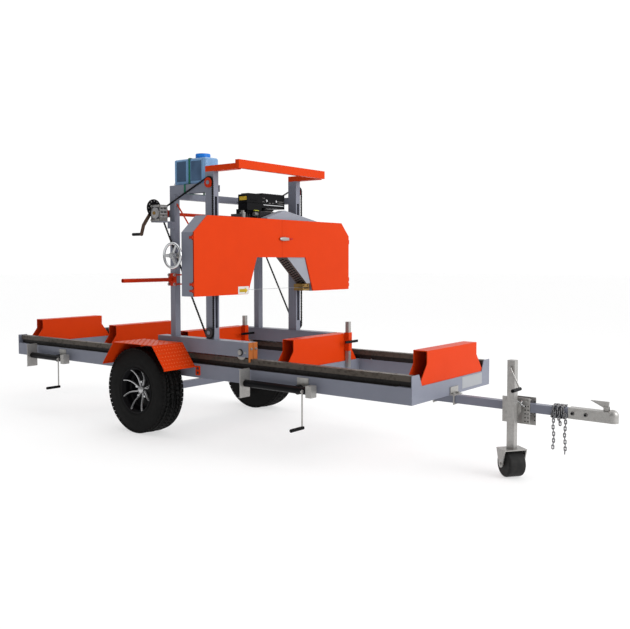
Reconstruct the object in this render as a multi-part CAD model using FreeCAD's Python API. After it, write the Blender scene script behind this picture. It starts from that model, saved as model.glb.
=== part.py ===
"""Portable band sawmill on its trailer: every piece is its own solid in one shared frame.

The model is drawn with X along the trailer (hitch towards +X), Y across it and Z up from the
ground, with X zero at the hitch end of the frame. At the end it moves so that the origin is the
middle of its bounding box at ground level. Lengths are in millimetres.
"""
import math
import os

import FreeCAD
import Part

V = FreeCAD.Vector
X_AXIS, Y_AXIS, Z_AXIS = V(1, 0, 0), V(0, 1, 0), V(0, 0, 1)
SIDES = (-1, 1)

# Clearances
SEAT_GAP = 0.3
RUN_GAP = 0.05
SLIDE_GAP = 0.08

# Trailer frame
FRAME_LENGTH = 4063.0
FRAME_WIDTH = 1004.0
BEAM_BASE = 422.0
BEAM_HEIGHT = 100.0
BEAM_WIDTH = 60.0
BEAM_WALL = 4.0
MEMBER_WIDTH = 106.0
EAR_HEIGHT = 71.0
EAR_TOP = 82.0
EAR_FOOT = 114.0
EAR_THICK = 4.7
RAIL_INSET = 20.0
RAIL_WIDTH = 50.0
RAIL_HEAD = 35.0
RAIL_WEB = 24.0
RAIL_LIFT = 32.0
RAIL_END_GAP = 20.0

# Log bunks and stops
BUNK_SHARES = (0.2651, 0.5180, 0.7285)
BUNK_WIDTH = 96.0
BUNK_WALL = 5.0
BUNK_HEIGHT = 199.0
BUNK_SHOULDER = 120.0
BUNK_INSET = 180.0
BUNK_SLOPE = 184.0
BUNK_FOOT_LENGTH = FRAME_WIDTH - BUNK_INSET
BUNK_TOP_LENGTH = BUNK_FOOT_LENGTH - BUNK_SLOPE
STOP_Y = 280.0
STOP_SLEEVE = 40.0
STOP_BORE = 29.0
STOP_SLEEVE_BASE = 76.0
STOP_SLEEVE_HEIGHT = 132.0
STOP_POST_LENGTH = 333.0
STOP_POST_TOP = 286.0
LEVER_Z = 143.0
LEVER_STEM = 6.0
LEVER_OUT = 16.0
LEVER_LONG = 75.0
LEVER_SHORT = 75.0
LEVER_THICK = 9.0

# Road wheels, axle and mudguards
AXLE_X = -2188.0
WHEEL_OUT = 122.0
WHEEL_Y = FRAME_WIDTH / 2 + WHEEL_OUT
TYRE_R = 313.0
TYRE_WIDTH = 190.0
BEAD_R = 152.0
RIM_WALL = 6.0
RIM_DISC_IN = 26.0
RIM_DISC_THICK = 12.0
RIM_SPOKES = 7
SPOKE_WIDTH = 30.0
HUB_R = 44.0
HUB_LENGTH = 96.0
CAP_R = 30.0
CAP_LENGTH = 12.0
SPINDLE_R = 15.0
AXLE_TUBE = 50.0
AXLE_Z = 300.0
AXLE_END = 3.0
AXLE_HALF = FRAME_WIDTH / 2 + AXLE_END
STAND_WIDTH = 80.0
STAND_DEPTH = 50.0
GUARD_X = -2120.0
GUARD_TOP_HALF = 210.0
GUARD_HALF = 338.0
GUARD_TOP_Z = 665.0
GUARD_END_Z = 505.0
GUARD_THICK = 3.0
GUARD_GAP = 10.0
GUARD_WIDTH = 284.0
GUARD_IN = FRAME_WIDTH / 2 + GUARD_GAP
GUARD_OUT = GUARD_IN + GUARD_WIDTH
TAB_DROP = 66.0
TAB_WIDTH = 46.0

# Tongue, coupler and safety chains
TONGUE = 50.0
TONGUE_WALL = 4.0
TONGUE_REAR = -140.0
TONGUE_FRONT = 855.0
CLAMP_X = 18.0
CLAMP_PLATE = 36.0
CLAMP_HALF = 50.0
CLAMP_THICK = 6.0
UBOLT_R = 5.0
NUT_R = 9.0
NUT_H = 8.0
COUPLER_REAR = 734.0
COUPLER_WALL = 5.0
COUPLER_DROP = 6.0
BALL_X = 971.0
BALL_Z = 407.0
BALL_R = 25.4
BALL_SHELL = 6.6
LATCH_X = 938.0
LATCH_RISE = 36.0
LATCH_TALL = 35.0
LATCH_LENGTH = 88.0
LATCH_THICK = 14.0
LATCH_PIN_R = 4.0
EAR_PLATE = 5.0
CHAIN_XS = (653.0, 722.0)
CHAIN_LINKS = (11, 12)
LINK_LENGTH = 29.0
LINK_WIDTH = 17.0
LINK_WIRE = 4.0
WRAP_WIDTH = 12.0
WRAP_THICK = 7.0

# Front jack
MAST_X = 430.0
MAST_Y = -95.0
MAST = 45.0
MAST_WALL = 3.0
MAST_BASE = 165.0
MAST_TOP = 680.0
MAST_PIVOT_Z = 395.0
BOSS_R = 26.0
SWIVEL_R = 44.0
SWIVEL_THICK = 5.0
PLATE_THICK = 6.0
PLATE_REAR = 340.0
PLATE_FRONT = 510.0
PLATE_BASE = 302.0
PLATE_TOP = 454.0
PLATE_BOLT_R = 6.0
PLATE_BOLT_INSET = 16.0
PLATE_SHIFT = 14.0
LEG_R = 17.0
LEG_BORE = 11.0
LEG_TOP = 560.0
SCREW_R = 8.0
COLLAR_H = 10.0
FORK_TURN = -37.0
FORK_PLATE = 6.0
FORK_WIDTH = 100.0
FORK_TIP = 45.0
JWHEEL_R = 78.0
JWHEEL_WIDTH = 108.0
JWHEEL_GAP = 12.0
JWHEEL_BORE = 8.0
JCRANK_Z = 640.0
JCRANK_R = 6.0
JCRANK_DX = 60.0
JCRANK_DZ = -118.0
JCRANK_OUT = 12.0
JGRIP_R = 10.0
JGRIP_LENGTH = 100.0

# Side jacks, stowed along the near side beam
JACK_PIVOTS = (-3390.0, -800.0)
JACK_HEADS = (-3325.0, -735.0)
JACK_FEET = (-3755.0, -1250.0)
JACK_OUT = 58.0
JACK_Z = 440.0
JACK_R = 24.0
JACK_WALL = 3.0
JACK_BARREL = 400.0
JACK_BOX_W = 56.0
JACK_BOX_H = 74.0
JACK_BOX_START = 22.0
JACK_BOX_END = 66.0
JACK_LEG_R = 20.8
JACK_LEG_WALL = 4.0
JACK_LEG_INSIDE = 255.0
JACK_FOOT_W = 95.0
JACK_FOOT_H = 190.0
JACK_FOOT_THICK = 5.0
JACK_FOOT_GAP = 5.0
JACK_FOOT_LIP = 14.0
JACK_SCREW_R = 8.0
JACK_PIN_R = 16.0
JACK_FLANGE_W = 90.0
JACK_FLANGE_H = 76.0
JACK_PAD_R = 30.0
JACK_ARM = 228.0
JACK_ARM_R = 5.0
JACK_GRIP_R = 11.0
JACK_GRIP_LENGTH = 110.0

# Carriage
CAR_REAR = -2190.0
CAR_FRONT = -1276.0
CAR_INSET = 4.0
CAR_BEAM_WIDTH = 84.0
CAR_BEAM_OUT = FRAME_WIDTH / 2 - CAR_INSET
CAR_BEAM_IN = CAR_BEAM_OUT - CAR_BEAM_WIDTH
CAR_LIFT = 78.0
CAR_HEIGHT = 101.0
CAR_BASE = BEAM_BASE + BEAM_HEIGHT + CAR_LIFT
CAR_TOP = CAR_BASE + CAR_HEIGHT
CAR_WALL = 5.0
TRACK_AXLES = (-1349.0, -2111.0)
TRACK_R = 42.0
TRACK_FLANGE = 8.0
TRACK_FLANGE_W = 6.0
TRACK_TREAD = 53.0
TRACK_PIN_R = 8.0
TRACK_NUT_R = 14.0
TRACK_NUT_H = 9.0
WIPER_THICK = 6.0
WIPER_GAP = 4.0
WIPER_CLEAR = 0.5
POST_INSET = 50.0
POST_Y = FRAME_WIDTH / 2 - POST_INSET
POST_WIDTH = 50.0
POST_WALL = 4.0
SLOT_POST_REAR = -1700.0
SLOT_POST_FRONT = -1620.0
SLOT_POST_TOP = 1875.0
SLOT_BASE = 780.0
SLOT_END = 175.0
SLOT_TOP = SLOT_POST_TOP - SLOT_END
SLOT_WIDTH = 24.0
BACK_POST_REAR = -2070.0
BACK_POST_DROP = 125.0
BACK_POST_TOP = SLOT_POST_TOP - BACK_POST_DROP
BRACE_R = 5.5
BRACE_DROP = 85.0
BRACE_FALL = 400.0
BRACE_TOP_Z = BACK_POST_TOP - BRACE_DROP
BRACE_FOOT_Z = BRACE_TOP_Z - BRACE_FALL
ROOF_ARM_H = 40.0
ROOF_BAR_REAR = -1404.0
ROOF_BAR_FRONT = -1371.0
ROOF_STEP = 5.0
ROOF_BAR_H = 58.0
ROOF_BAR_BASE = SLOT_POST_TOP + ROOF_STEP
ROOF_BAR_TOP = ROOF_BAR_BASE + ROOF_BAR_H
ROOF_OUT_NEAR = 30.0
ROOF_OUT_FAR = 20.0
ROOF_NEAR = -POST_Y - ROOF_OUT_NEAR
ROOF_FAR = POST_Y + ROOF_OUT_FAR
ROOF_WALL = 3.0

# Water tank on its tray
TRAY_DEPTH = 162.0
TRAY_FAR = TRAY_DEPTH - POST_Y
TRAY_THICK = 4.0
TRAY_LIP_DROP = 15.0
TRAY_LIP_Z = BACK_POST_TOP - TRAY_LIP_DROP
TANK_REAR = -2076.0
TANK_FRONT = -1742.0
TANK_INSET = 22.0
TANK_DEPTH = 133.0
TANK_NEAR = TANK_INSET - POST_Y
TANK_FAR = TANK_NEAR + TANK_DEPTH
TRAY_RISE = 48.0
TANK_HEIGHT = 192.0
TANK_BASE = BACK_POST_TOP + TRAY_RISE
TANK_TOP = TANK_BASE + TANK_HEIGHT
TANK_ROUND = 18.0
TANK_WALL = 3.0
TANK_CAP_X = -1838.0
TANK_CAP_R = 52.0
TANK_CAP_H = 30.0
TANK_NECK_R = 48.0
TANK_NECK_H = 12.0
TAP_R = 8.0
TAP_LENGTH = 22.0
TAP_RISE = 17.0
TAP_IN = 30.0
TAP_Z = TANK_BASE + TAP_RISE
TAP_Y = TANK_NEAR + TAP_IN

# Push handle
HANDLE_Z = 1115.0
HANDLE_R = 14.0
HANDLE_WALL = 2.5
HANDLE_LENGTH = 480.0
HANDLE_TIP = -POST_Y - HANDLE_LENGTH
HANDLE_PLATE_W = 81.0
HANDLE_PLATE_H = 91.0
HANDLE_PLATE_T = 8.0
HANDLE_UBOLT_DZ = 34.0

# Lift shaft, worm box, sprockets and chains
LIFT_X = -2110.0
LIFT_DROP = 153.0
LIFT_Z = BACK_POST_TOP - LIFT_DROP
LIFT_R = 12.5
CHAIN_OUT = 36.0
CHAIN_Y = POST_Y + CHAIN_OUT
CHAIN_WIDTH = 10.0
CHAIN_THICK = 10.0
SMALL_R = 39.0
LARGE_R = 42.0
SPROCKET_X = -1655.0
SPROCKET_DROP = 78.0
SPROCKET_RISE = 47.0
SPROCKET_TOP_Z = SLOT_POST_TOP - SPROCKET_DROP
SPROCKET_LOW_Z = CAR_TOP + SPROCKET_RISE
STUB_R = 10.0
SPROCKET_FACE_R = 35.0
SPROCKET_FACE = 3.7
STUB_HEAD_R = 14.0
GBOX_REAR = -2158.0
GBOX_FRONT = -2062.0
GBOX_OUT = 55.0
GBOX_DEPTH = 73.0
GBOX_FAR = -POST_Y - GBOX_OUT
GBOX_NEAR = GBOX_FAR - GBOX_DEPTH
GBOX_HALF_H = 60.0
GBOX_BASE = LIFT_Z - GBOX_HALF_H
GBOX_TOP = LIFT_Z + GBOX_HALF_H
GBOX_WALL = 10.0
BRACKET_THICK = 6.0
WORM_RISE = 40.0
WORM_R = 10.0
WORM_LENGTH = 60.0
WORM_WHEEL_W = 24.0
WORM_WHEEL_IN = 36.0
WORM_WHEEL_Y = GBOX_FAR - WORM_WHEEL_IN
CRANK_SHAFT_R = 8.0
INDEX_R = 65.0
INDEX_THICK = 7.0
CRANK_BAR_W = 26.0
CRANK_BAR_T = 7.0
CRANK_ELBOW = (-92.0, -127.0)
CRANK_END = (-112.0, -193.0)
CRANK_GRIP_R = 11.0
CRANK_GRIP_LENGTH = 92.0
BEARING_LENGTH = 40.0

# Saw head
HEAD_BACK = -1607.5
HEAD_FRONT = -1489.0
HEAD_SKIN = 4.0
HEAD_BASE = 1015.6
HEAD_HEIGHT = 542.1
HEAD_OUT_NEAR = 336.0
HEAD_OUT_FAR = 504.0
HEAD_TOP = HEAD_BASE + HEAD_HEIGHT
HEAD_NEAR = -POST_Y - HEAD_OUT_NEAR
HEAD_FAR = POST_Y + HEAD_OUT_FAR
NEAR_CUT = 127.0
NEAR_RISE = 425.6
FAR_CUT = 102.0
FAR_RISE = 436.0
NEAR_CORNER = (HEAD_NEAR + NEAR_CUT, HEAD_BASE + NEAR_RISE)
FAR_CORNER = (HEAD_FAR - FAR_CUT, HEAD_BASE + FAR_RISE)
NOTCH_HEIGHT = 261.4
NOTCH_TOP = HEAD_BASE + NOTCH_HEIGHT
NOTCH_NEAR = (-270.0, -174.0)
NOTCH_FAR = (476.0, 382.5)
GUARD_HIGH_Y = 175.0
GUARD_LOW_Y = 410.0
GUARD_LOW_RISE = 60.4
GUARD_SLANT = ((GUARD_HIGH_Y, NOTCH_TOP), (GUARD_LOW_Y, HEAD_BASE + GUARD_LOW_RISE))
SEAM_Y = 104.2
SEAM_GAP = 2.0
DOOR_DEPTH = 9.5
DOOR_SKIN = 3.0
HINGE_R = 6.0
HINGE_RISES = ((372.4, 408.4), (64.4, 96.4), (24.4, 50.4))
HINGE_SPANS = tuple((HEAD_BASE + low, HEAD_BASE + high) for low, high in HINGE_RISES)
CARRIER_LOW = 84.4
CARRIER_HIGH = 354.4
CARRIER_HEIGHT = 56.0
CARRIER_GAP = 0.5
LATCH_Y = 112.0
DLATCH_RISE = 398.4
DLATCH_Z = HEAD_BASE + DLATCH_RISE
DLATCH_LENGTH = 72.0
DLATCH_HEIGHT = 22.0
DLATCH_THICK = 6.0

# Band wheels, saw band and drive
BAND_WHEEL_RISE = 271.4
BAND_WHEEL_IN_NEAR = 278.0
BAND_WHEEL_IN_FAR = 280.0
BAND_WHEEL_Z = HEAD_BASE + BAND_WHEEL_RISE
BAND_WHEEL_NEAR = HEAD_NEAR + BAND_WHEEL_IN_NEAR
BAND_WHEEL_FAR = HEAD_FAR - BAND_WHEEL_IN_FAR
BAND_WHEEL_R = 241.5
BAND_WHEEL_REAR = -1560.0
BAND_WHEEL_W = 35.0
BAND_RIM = 18.0
BAND_WEB = 8.0
BAND_HUB_R = 34.0
BAND_HOLES = 6
BAND_HOLE_R = 40.0
BAND_T = 1.1
BAND_W = 32.0
BAND_SHAFT_R = 15.0
PULLEY_W = 22.0
PULLEY_REAR = -1592.0
DRIVEN_R = 110.0
DRIVER_R = 55.0
BELT_W = 17.0
BELT_T = 11.0
BEARING_R = 46.0
BEARING_DEPTH = 50.0
SLIDE_OUT = 80.0
SLIDE_LENGTH = 60.0
SLIDE_NEAR = BAND_WHEEL_NEAR - SLIDE_OUT
SLIDE_FAR = SLIDE_NEAR + SLIDE_LENGTH
SLIDE_H = 60.0
SLIDE_ARM_T = 12.0
SLIDE_ARM_H = 40.0
SLIDE_NECK_H = 24.0
SLIDE_NECK_IN = 15.0
SLIDE_REAR = -1660.0
SLIDE_FRONT = -1612.0
SLIDE_TRAVEL = 12.0
GUIDE_BAR = 12.0
GUIDE_OUT = 50.0
GUIDE_NEAR = SLIDE_NEAR - GUIDE_OUT
AXLE_PIN_R = 10.0
ANCHOR_OUT = 10.0
ANCHOR_IN = 26.0
ANCHOR_NEAR = HEAD_NEAR - ANCHOR_OUT
ANCHOR_FAR = HEAD_NEAR + ANCHOR_IN
TENSION_X = -1640.0
TENSION_R = 8.0
HANDWHEEL_OUT = 52.0
HANDWHEEL_Y = HEAD_NEAR - HANDWHEEL_OUT
HANDWHEEL_R = 81.0
HANDWHEEL_RIM = 9.0
HANDWHEEL_HUB_R = 17.0
HANDWHEEL_HUB_L = 34.0
HANDWHEEL_SPOKES = 3
SPOKE_R = 6.0
GUIDE_YS = ((-372.0, -292.0), (370.0, 450.0))
GUIDE_LOW = 4.4
GUIDE_Z = (HEAD_BASE + GUIDE_LOW, GUARD_SLANT[1][1] - SEAT_GAP)
GUIDE_X = (-1596.0, -1506.0)
GUIDE_SLOT = 5.0

# Engine
ENG_Y = 200.0
ENG_SHELF_RISE = 408.4
ENG_SHAFT_RISE = 106.0
ENG_SHELF_Z = HEAD_BASE + ENG_SHELF_RISE
ENG_Z = ENG_SHELF_Z + ENG_SHAFT_RISE
ENG_SHELF_T = 8.0
ENG_SHELF_REAR = -1900.0
ENG_SHELF_NEAR = -40.0
ENG_SHELF_FAR = 370.0
ENG_FRONT = -1632.0
ENG_CASE_REAR = -1880.0
ENG_CASE_NEAR = 20.0
ENG_CASE_FAR = 330.0
ENG_CASE_H = 198.0
ENG_CASE_TOP = ENG_SHELF_Z + ENG_CASE_H
ENG_SHAFT_R = 12.7
ENG_HEAD_NEAR = -118.0
ENG_HEAD_FAR = 20.0
ENG_HEAD_LOW = 76.0
ENG_HEAD_BASE = ENG_SHELF_Z + ENG_HEAD_LOW
ENG_HEAD_FRONT = -1690.0
ENG_HEAD_REAR = -1800.0
ENG_HEAD_HIGH = 176.0
ENG_HEAD_TOP = ENG_SHELF_Z + ENG_HEAD_HIGH
ENG_FIN = 5.0
ENG_FINS = 7
FAN_R = 122.0
FAN_DEPTH = 70.0
AIR_PLAN = (-1772.0, -1680.0, -70.0, 90.0)
AIR_RISES = (204.0, 324.0)
AIR_BOX = AIR_PLAN + tuple(ENG_SHELF_Z + rise for rise in AIR_RISES)
MUFFLER_PLAN = (-1800.0, -1684.0, 94.0, 362.0)
MUFFLER_RISES = (228.0, 336.0)
MUFFLER = MUFFLER_PLAN + tuple(ENG_SHELF_Z + rise for rise in MUFFLER_RISES)
FUEL_PLAN = (-1905.0, -1806.0, 84.0, 384.0)
FUEL_RISES = (216.0, 316.0)
FUEL = FUEL_PLAN + tuple(ENG_SHELF_Z + rise for rise in FUEL_RISES)
HOOD_POINTS = ((3.0, 13.3), (202.0, 74.3), (594.0, 6.3))
HOOD = tuple((y, HEAD_TOP + rise) for y, rise in HOOD_POINTS)
HOOD_FRONT = -1545.0
HOOD_SKIN = 2.5


def box(x0, x1, y0, y1, z0, z1):
    """Give the box between the given limits."""
    return Part.makeBox(x1 - x0, y1 - y0, z1 - z0, V(x0, y0, z0))


def rod(start, end, radius):
    """Give a cylinder from one point to another."""
    line = V(*end) - V(*start)
    return Part.makeCylinder(radius, line.Length, V(*start), line)


def pipe(start, end, radius, wall):
    """Give a round tube from one point to another."""
    return rod(start, end, radius).cut(rod(start, end, radius - wall))


def tube_box(x0, x1, y0, y1, z0, z1, wall, along):
    """Give a square tube that is open at both ends along one axis."""
    cut = [[x0 + wall, x1 - wall], [y0 + wall, y1 - wall], [z0 + wall, z1 - wall]]
    index = "xyz".index(along)
    cut[index] = [cut[index][0] - wall, cut[index][1] + wall]
    return box(x0, x1, y0, y1, z0, z1).cut(box(*cut[0], *cut[1], *cut[2]))


def prism(points, axis, start, end):
    """Give a straight solid whose outline lies across an axis: x takes (y, z), y takes (x, z)."""
    if axis == "x":
        vectors = [V(start, a, b) for a, b in points]
        move = V(end - start, 0, 0)
    elif axis == "y":
        vectors = [V(a, start, b) for a, b in points]
        move = V(0, end - start, 0)
    else:
        vectors = [V(a, b, start) for a, b in points]
        move = V(0, 0, end - start)
    return Part.Face(Part.makePolygon(vectors + vectors[:1])).extrude(move)


def grow(points, amount):
    """Give an outline moved outwards by an amount (inwards when it is negative)."""
    wire = Part.makePolygon([V(a, b, 0) for a, b in points + points[:1]])
    ring = wire.makeOffset2D(amount, 2)
    corners = [v.Point for v in ring.OrderedVertexes]
    return [(p.x, p.y) for p in corners]


def fuse(shapes):
    """Give one solid from shapes that touch or overlap."""
    return shapes[0].fuse(shapes[1:]).removeSplitter() if len(shapes) > 1 else shapes[0]


def group(shapes):
    """Give one shape that keeps its solids apart."""
    return Part.makeCompound([solid for shape in shapes for solid in shape.Solids])


def belt_outline(circles, extra):
    """Give the outline round pulleys as a face; circles are (a, b, radius) in anticlockwise order."""
    edges = []
    tangents = []
    count = len(circles)
    for index in range(count):
        a0, b0, r0 = circles[index]
        a1, b1, r1 = circles[(index + 1) % count]
        r0, r1 = r0 + extra, r1 + extra
        da, db = a1 - a0, b1 - b0
        span = math.hypot(da, db)
        turn = math.atan2(db, da) - math.acos((r0 - r1) / span)
        na, nb = math.cos(turn), math.sin(turn)
        tangents.append(((a0 + r0 * na, b0 + r0 * nb), (a1 + r1 * na, b1 + r1 * nb), turn))
    for index in range(count):
        start, end, turn = tangents[index]
        next_start, _, next_turn = tangents[(index + 1) % count]
        a, b, radius = circles[(index + 1) % count]
        radius += extra
        sweep = (next_turn - turn) % (math.pi * len(SIDES))
        middle = turn + sweep / len(SIDES)
        mid = (a + radius * math.cos(middle), b + radius * math.sin(middle))
        edges.append(Part.makeLine(V(*start, 0), V(*end, 0)))
        edges.append(Part.Arc(V(*end, 0), V(*mid, 0), V(*next_start, 0)).toShape())
    return Part.Face(Part.Wire(edges))


def belt(circles, inner, outer, axis, start, end):
    """Give a flat belt round pulleys, between two offsets of their radii."""
    face = belt_outline(circles, outer).cut(belt_outline(circles, inner))
    solid = face.extrude(V(0, 0, end - start))
    if axis == "x":
        solid.rotate(V(0, 0, 0), V(1, 1, 1), 120)
        solid.translate(V(start, 0, 0))
    else:
        solid.rotate(V(0, 0, 0), X_AXIS, 90)
        solid.translate(V(0, end, 0))
    return solid


def trailer_frame():
    """Build the beams, rails, cross members and log bunks."""
    half = FRAME_WIDTH / 2
    top = BEAM_BASE + BEAM_HEIGHT
    beams, rails, members, bunks = [], [], [], []
    for side in SIDES:
        ys = sorted((side * half, side * (half - BEAM_WIDTH)))
        beams.append(tube_box(-FRAME_LENGTH + MEMBER_WIDTH, -MEMBER_WIDTH, *ys, BEAM_BASE, top,
                              BEAM_WALL, "x"))
        middle = side * (half - RAIL_INSET - RAIL_WIDTH / 2)
        span = (-FRAME_LENGTH + RAIL_END_GAP, -RAIL_END_GAP)
        head_z = top + RAIL_LIFT
        rails.append(fuse([
            box(*span, middle - RAIL_WIDTH / 2, middle + RAIL_WIDTH / 2, head_z, head_z + RAIL_HEAD),
            box(*span, middle - RAIL_WEB / 2, middle + RAIL_WEB / 2, top, head_z)]))
    for start, face in ((-MEMBER_WIDTH, -EAR_THICK), (-FRAME_LENGTH, -FRAME_LENGTH)):
        end = [box(start, start + MEMBER_WIDTH, -half, half, BEAM_BASE, top)]
        for side in SIDES:
            ear = [(side * half, top), (side * half, top + EAR_HEIGHT),
                   (side * (half - EAR_TOP), top + EAR_HEIGHT), (side * (half - EAR_FOOT), top)]
            end.append(prism(ear, "x", face, face + EAR_THICK))
        hollow = box(start + BEAM_WALL, start + MEMBER_WIDTH - BEAM_WALL, -half + BEAM_WALL,
                     half - BEAM_WALL, BEAM_BASE + BEAM_WALL, top - BEAM_WALL)
        members.append(fuse(end).cut(hollow))
    inner = half - BEAM_WIDTH
    centres = [-MEMBER_WIDTH / 2, -FRAME_LENGTH + MEMBER_WIDTH / 2]
    for share in BUNK_SHARES:
        middle = -FRAME_LENGTH * share
        centres.append(middle)
        members.append(tube_box(middle - MEMBER_WIDTH / 2, middle + MEMBER_WIDTH / 2, -inner, inner,
                                BEAM_BASE, top, BEAM_WALL, "y"))
    for middle in centres:
        outline = [(-BUNK_FOOT_LENGTH / 2, top), (-BUNK_TOP_LENGTH / 2, top + BUNK_SHOULDER),
                   (-BUNK_TOP_LENGTH / 2, top + BUNK_HEIGHT), (BUNK_TOP_LENGTH / 2, top + BUNK_HEIGHT),
                   (BUNK_TOP_LENGTH / 2, top + BUNK_SHOULDER), (BUNK_FOOT_LENGTH / 2, top)]
        shell = prism(outline, "x", middle - BUNK_WIDTH / 2, middle + BUNK_WIDTH / 2)
        shell = shell.cut(box(middle - BUNK_WIDTH / 2 + BUNK_WALL, middle + BUNK_WIDTH / 2 - BUNK_WALL,
                              -half, half, top - BUNK_WALL, top + BUNK_HEIGHT - BUNK_WALL))
        bunks.append(shell)
    return {"side_beams": group(beams), "track_rails": group(rails), "cross_members": group(members),
            "log_bunks": bunks}


def log_stops(bunks):
    """Build the stop sleeves on two bunks, and their posts and levers."""
    top = BEAM_BASE + BEAM_HEIGHT
    pieces = {}
    for number, share in enumerate(BUNK_SHARES[:2], start=1):
        x = -FRAME_LENGTH * share + BUNK_WIDTH / 2 + STOP_SLEEVE / 2
        base = top + STOP_SLEEVE_BASE
        half = STOP_SLEEVE / 2
        sleeve = box(x - half, x + half, STOP_Y - half, STOP_Y + half, base, base + STOP_SLEEVE_HEIGHT)
        bore = STOP_BORE / 2
        sleeve = sleeve.cut(box(x - bore, x + bore, STOP_Y - bore, STOP_Y + bore, base,
                                base + STOP_SLEEVE_HEIGHT))
        z = top + LEVER_Z
        sleeve = sleeve.cut(rod((x, STOP_Y, z), (x + STOP_SLEEVE, STOP_Y, z), LEVER_STEM + RUN_GAP))
        bunks[2 + number - 1] = bunks[2 + number - 1].fuse(sleeve)
        post = bore - SLIDE_GAP
        pieces["stop_post_%d" % number] = box(
            x - post, x + post, STOP_Y - post, STOP_Y + post,
            top + STOP_POST_TOP - STOP_POST_LENGTH, top + STOP_POST_TOP)
        out = x + half + LEVER_OUT
        stem = rod((x + bore, STOP_Y, z), (out, STOP_Y, z), LEVER_STEM)
        bar = box(out - LEVER_THICK, out, STOP_Y - LEVER_SHORT, STOP_Y + LEVER_LONG,
                  z - LEVER_THICK, z + LEVER_THICK)
        pieces["stop_lever_%d" % number] = fuse([stem, bar])
    pieces["log_bunks"] = group(bunks)
    return pieces


def road_wheels():
    """Build the axle, the two road wheels and the mudguards."""
    half = FRAME_WIDTH / 2
    tube = AXLE_TUBE / 2
    axle = [tube_box(AXLE_X - tube, AXLE_X + tube, -AXLE_HALF, AXLE_HALF, AXLE_Z - tube,
                     AXLE_Z + tube, BEAM_WALL, "y")]
    pieces = {}
    guards = []
    for side, name in zip(SIDES, ("near", "far")):
        inner, outer = side * AXLE_HALF, side * (WHEEL_Y + HUB_LENGTH / 2 + CAP_LENGTH)
        cap = box(AXLE_X - tube, AXLE_X + tube, *sorted((inner, inner - side * tube / 2)),
                  AXLE_Z - tube, TYRE_R + SPINDLE_R)
        axle.append(cap)
        axle.append(rod((AXLE_X, inner, TYRE_R), (AXLE_X, side * (WHEEL_Y + HUB_LENGTH / 2), TYRE_R),
                        SPINDLE_R))
        y0 = side * (half - BEAM_WIDTH / 2)
        axle.append(box(AXLE_X - STAND_WIDTH / 2, AXLE_X + STAND_WIDTH / 2,
                        *sorted((y0 - STAND_DEPTH / 2, y0 + STAND_DEPTH / 2)), AXLE_Z + tube, BEAM_BASE))
        y = side * WHEEL_Y
        w = TYRE_WIDTH / 2
        crown, shoulder = TYRE_R, TYRE_R - w / 8
        wall = (TYRE_R + BEAD_R) / 2
        rows = [(BEAD_R, -w * 0.86), (wall, -w), (shoulder - w / 5, -w * 0.97), (shoulder, -w * 0.8),
                (crown, -w * 0.5), (crown, w * 0.5), (shoulder, w * 0.8), (shoulder - w / 5, w * 0.97),
                (wall, w), (BEAD_R, w * 0.86)]
        points = [V(AXLE_X, y + b, TYRE_R + a) for a, b in rows]
        face = Part.Face(Part.makePolygon(points + points[:1]))
        pieces["tyre_" + name] = face.revolve(V(AXLE_X, y, TYRE_R), Y_AXIS, 360)
        ends = sorted((y - w * 0.86, y + w * 0.86))
        rim = [pipe((AXLE_X, ends[0], TYRE_R), (AXLE_X, ends[1], TYRE_R), BEAD_R - SEAT_GAP, RIM_WALL)]
        disc_out = y + side * (w - RIM_DISC_IN)
        disc_in = disc_out - side * RIM_DISC_THICK
        hub = rod((AXLE_X, y - HUB_LENGTH / 2, TYRE_R), (AXLE_X, y + HUB_LENGTH / 2, TYRE_R), HUB_R)
        rim.append(hub)
        arm = box(AXLE_X, AXLE_X + BEAD_R - RIM_WALL, *sorted((disc_in, disc_out)),
                  TYRE_R - SPOKE_WIDTH / 2, TYRE_R + SPOKE_WIDTH / 2)
        for index in range(RIM_SPOKES):
            spoke = arm.copy()
            spoke.rotate(V(AXLE_X, y, TYRE_R), Y_AXIS, 90 + index * 360 / RIM_SPOKES)
            rim.append(spoke)
        solid = fuse(rim)
        bore = rod((AXLE_X, y - side * HUB_LENGTH, TYRE_R),
                   (AXLE_X, side * (WHEEL_Y + HUB_LENGTH / 2 + SEAT_GAP), TYRE_R), SPINDLE_R + RUN_GAP)
        dust_cap = rod((AXLE_X, side * (WHEEL_Y + HUB_LENGTH / 2), TYRE_R), (AXLE_X, outer, TYRE_R), CAP_R)
        pieces["rim_" + name] = fuse([solid, dust_cap]).cut(bore)
        skin = [(GUARD_X - GUARD_HALF, GUARD_END_Z), (GUARD_X - GUARD_TOP_HALF, GUARD_TOP_Z),
                (GUARD_X + GUARD_TOP_HALF, GUARD_TOP_Z), (GUARD_X + GUARD_HALF, GUARD_END_Z)]
        under = [(a, b - GUARD_THICK * 1.3) for a, b in reversed(skin)]
        guard = [prism(skin + under, "y", side * GUARD_IN, side * GUARD_OUT)]
        for end in SIDES:
            x = GUARD_X + end * GUARD_HALF
            guard.append(box(*sorted((x, x - end * GUARD_THICK * 2)),
                             *sorted((side * half, side * GUARD_OUT)),
                             GUARD_END_Z - GUARD_THICK * 3, GUARD_END_Z))
            guard.append(box(*sorted((x, x + end * TAB_WIDTH)),
                             *sorted((side * half, side * (half + GUARD_THICK))),
                             GUARD_END_Z - TAB_DROP, GUARD_END_Z))
        guards.append(fuse(guard))
    pieces["axle_beam"] = fuse(axle)
    pieces["fenders"] = group(guards)
    return pieces


def u_bolt(x, y, half, z_low, z_high):
    """Give a U bolt that hangs round the tongue, with its two nuts."""
    shapes = [rod((x, y - half, z_low), (x, y + half, z_low), UBOLT_R)]
    for side in SIDES:
        shapes.append(rod((x, y + side * half, z_low - UBOLT_R), (x, y + side * half, z_high), UBOLT_R))
    return fuse(shapes)


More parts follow.
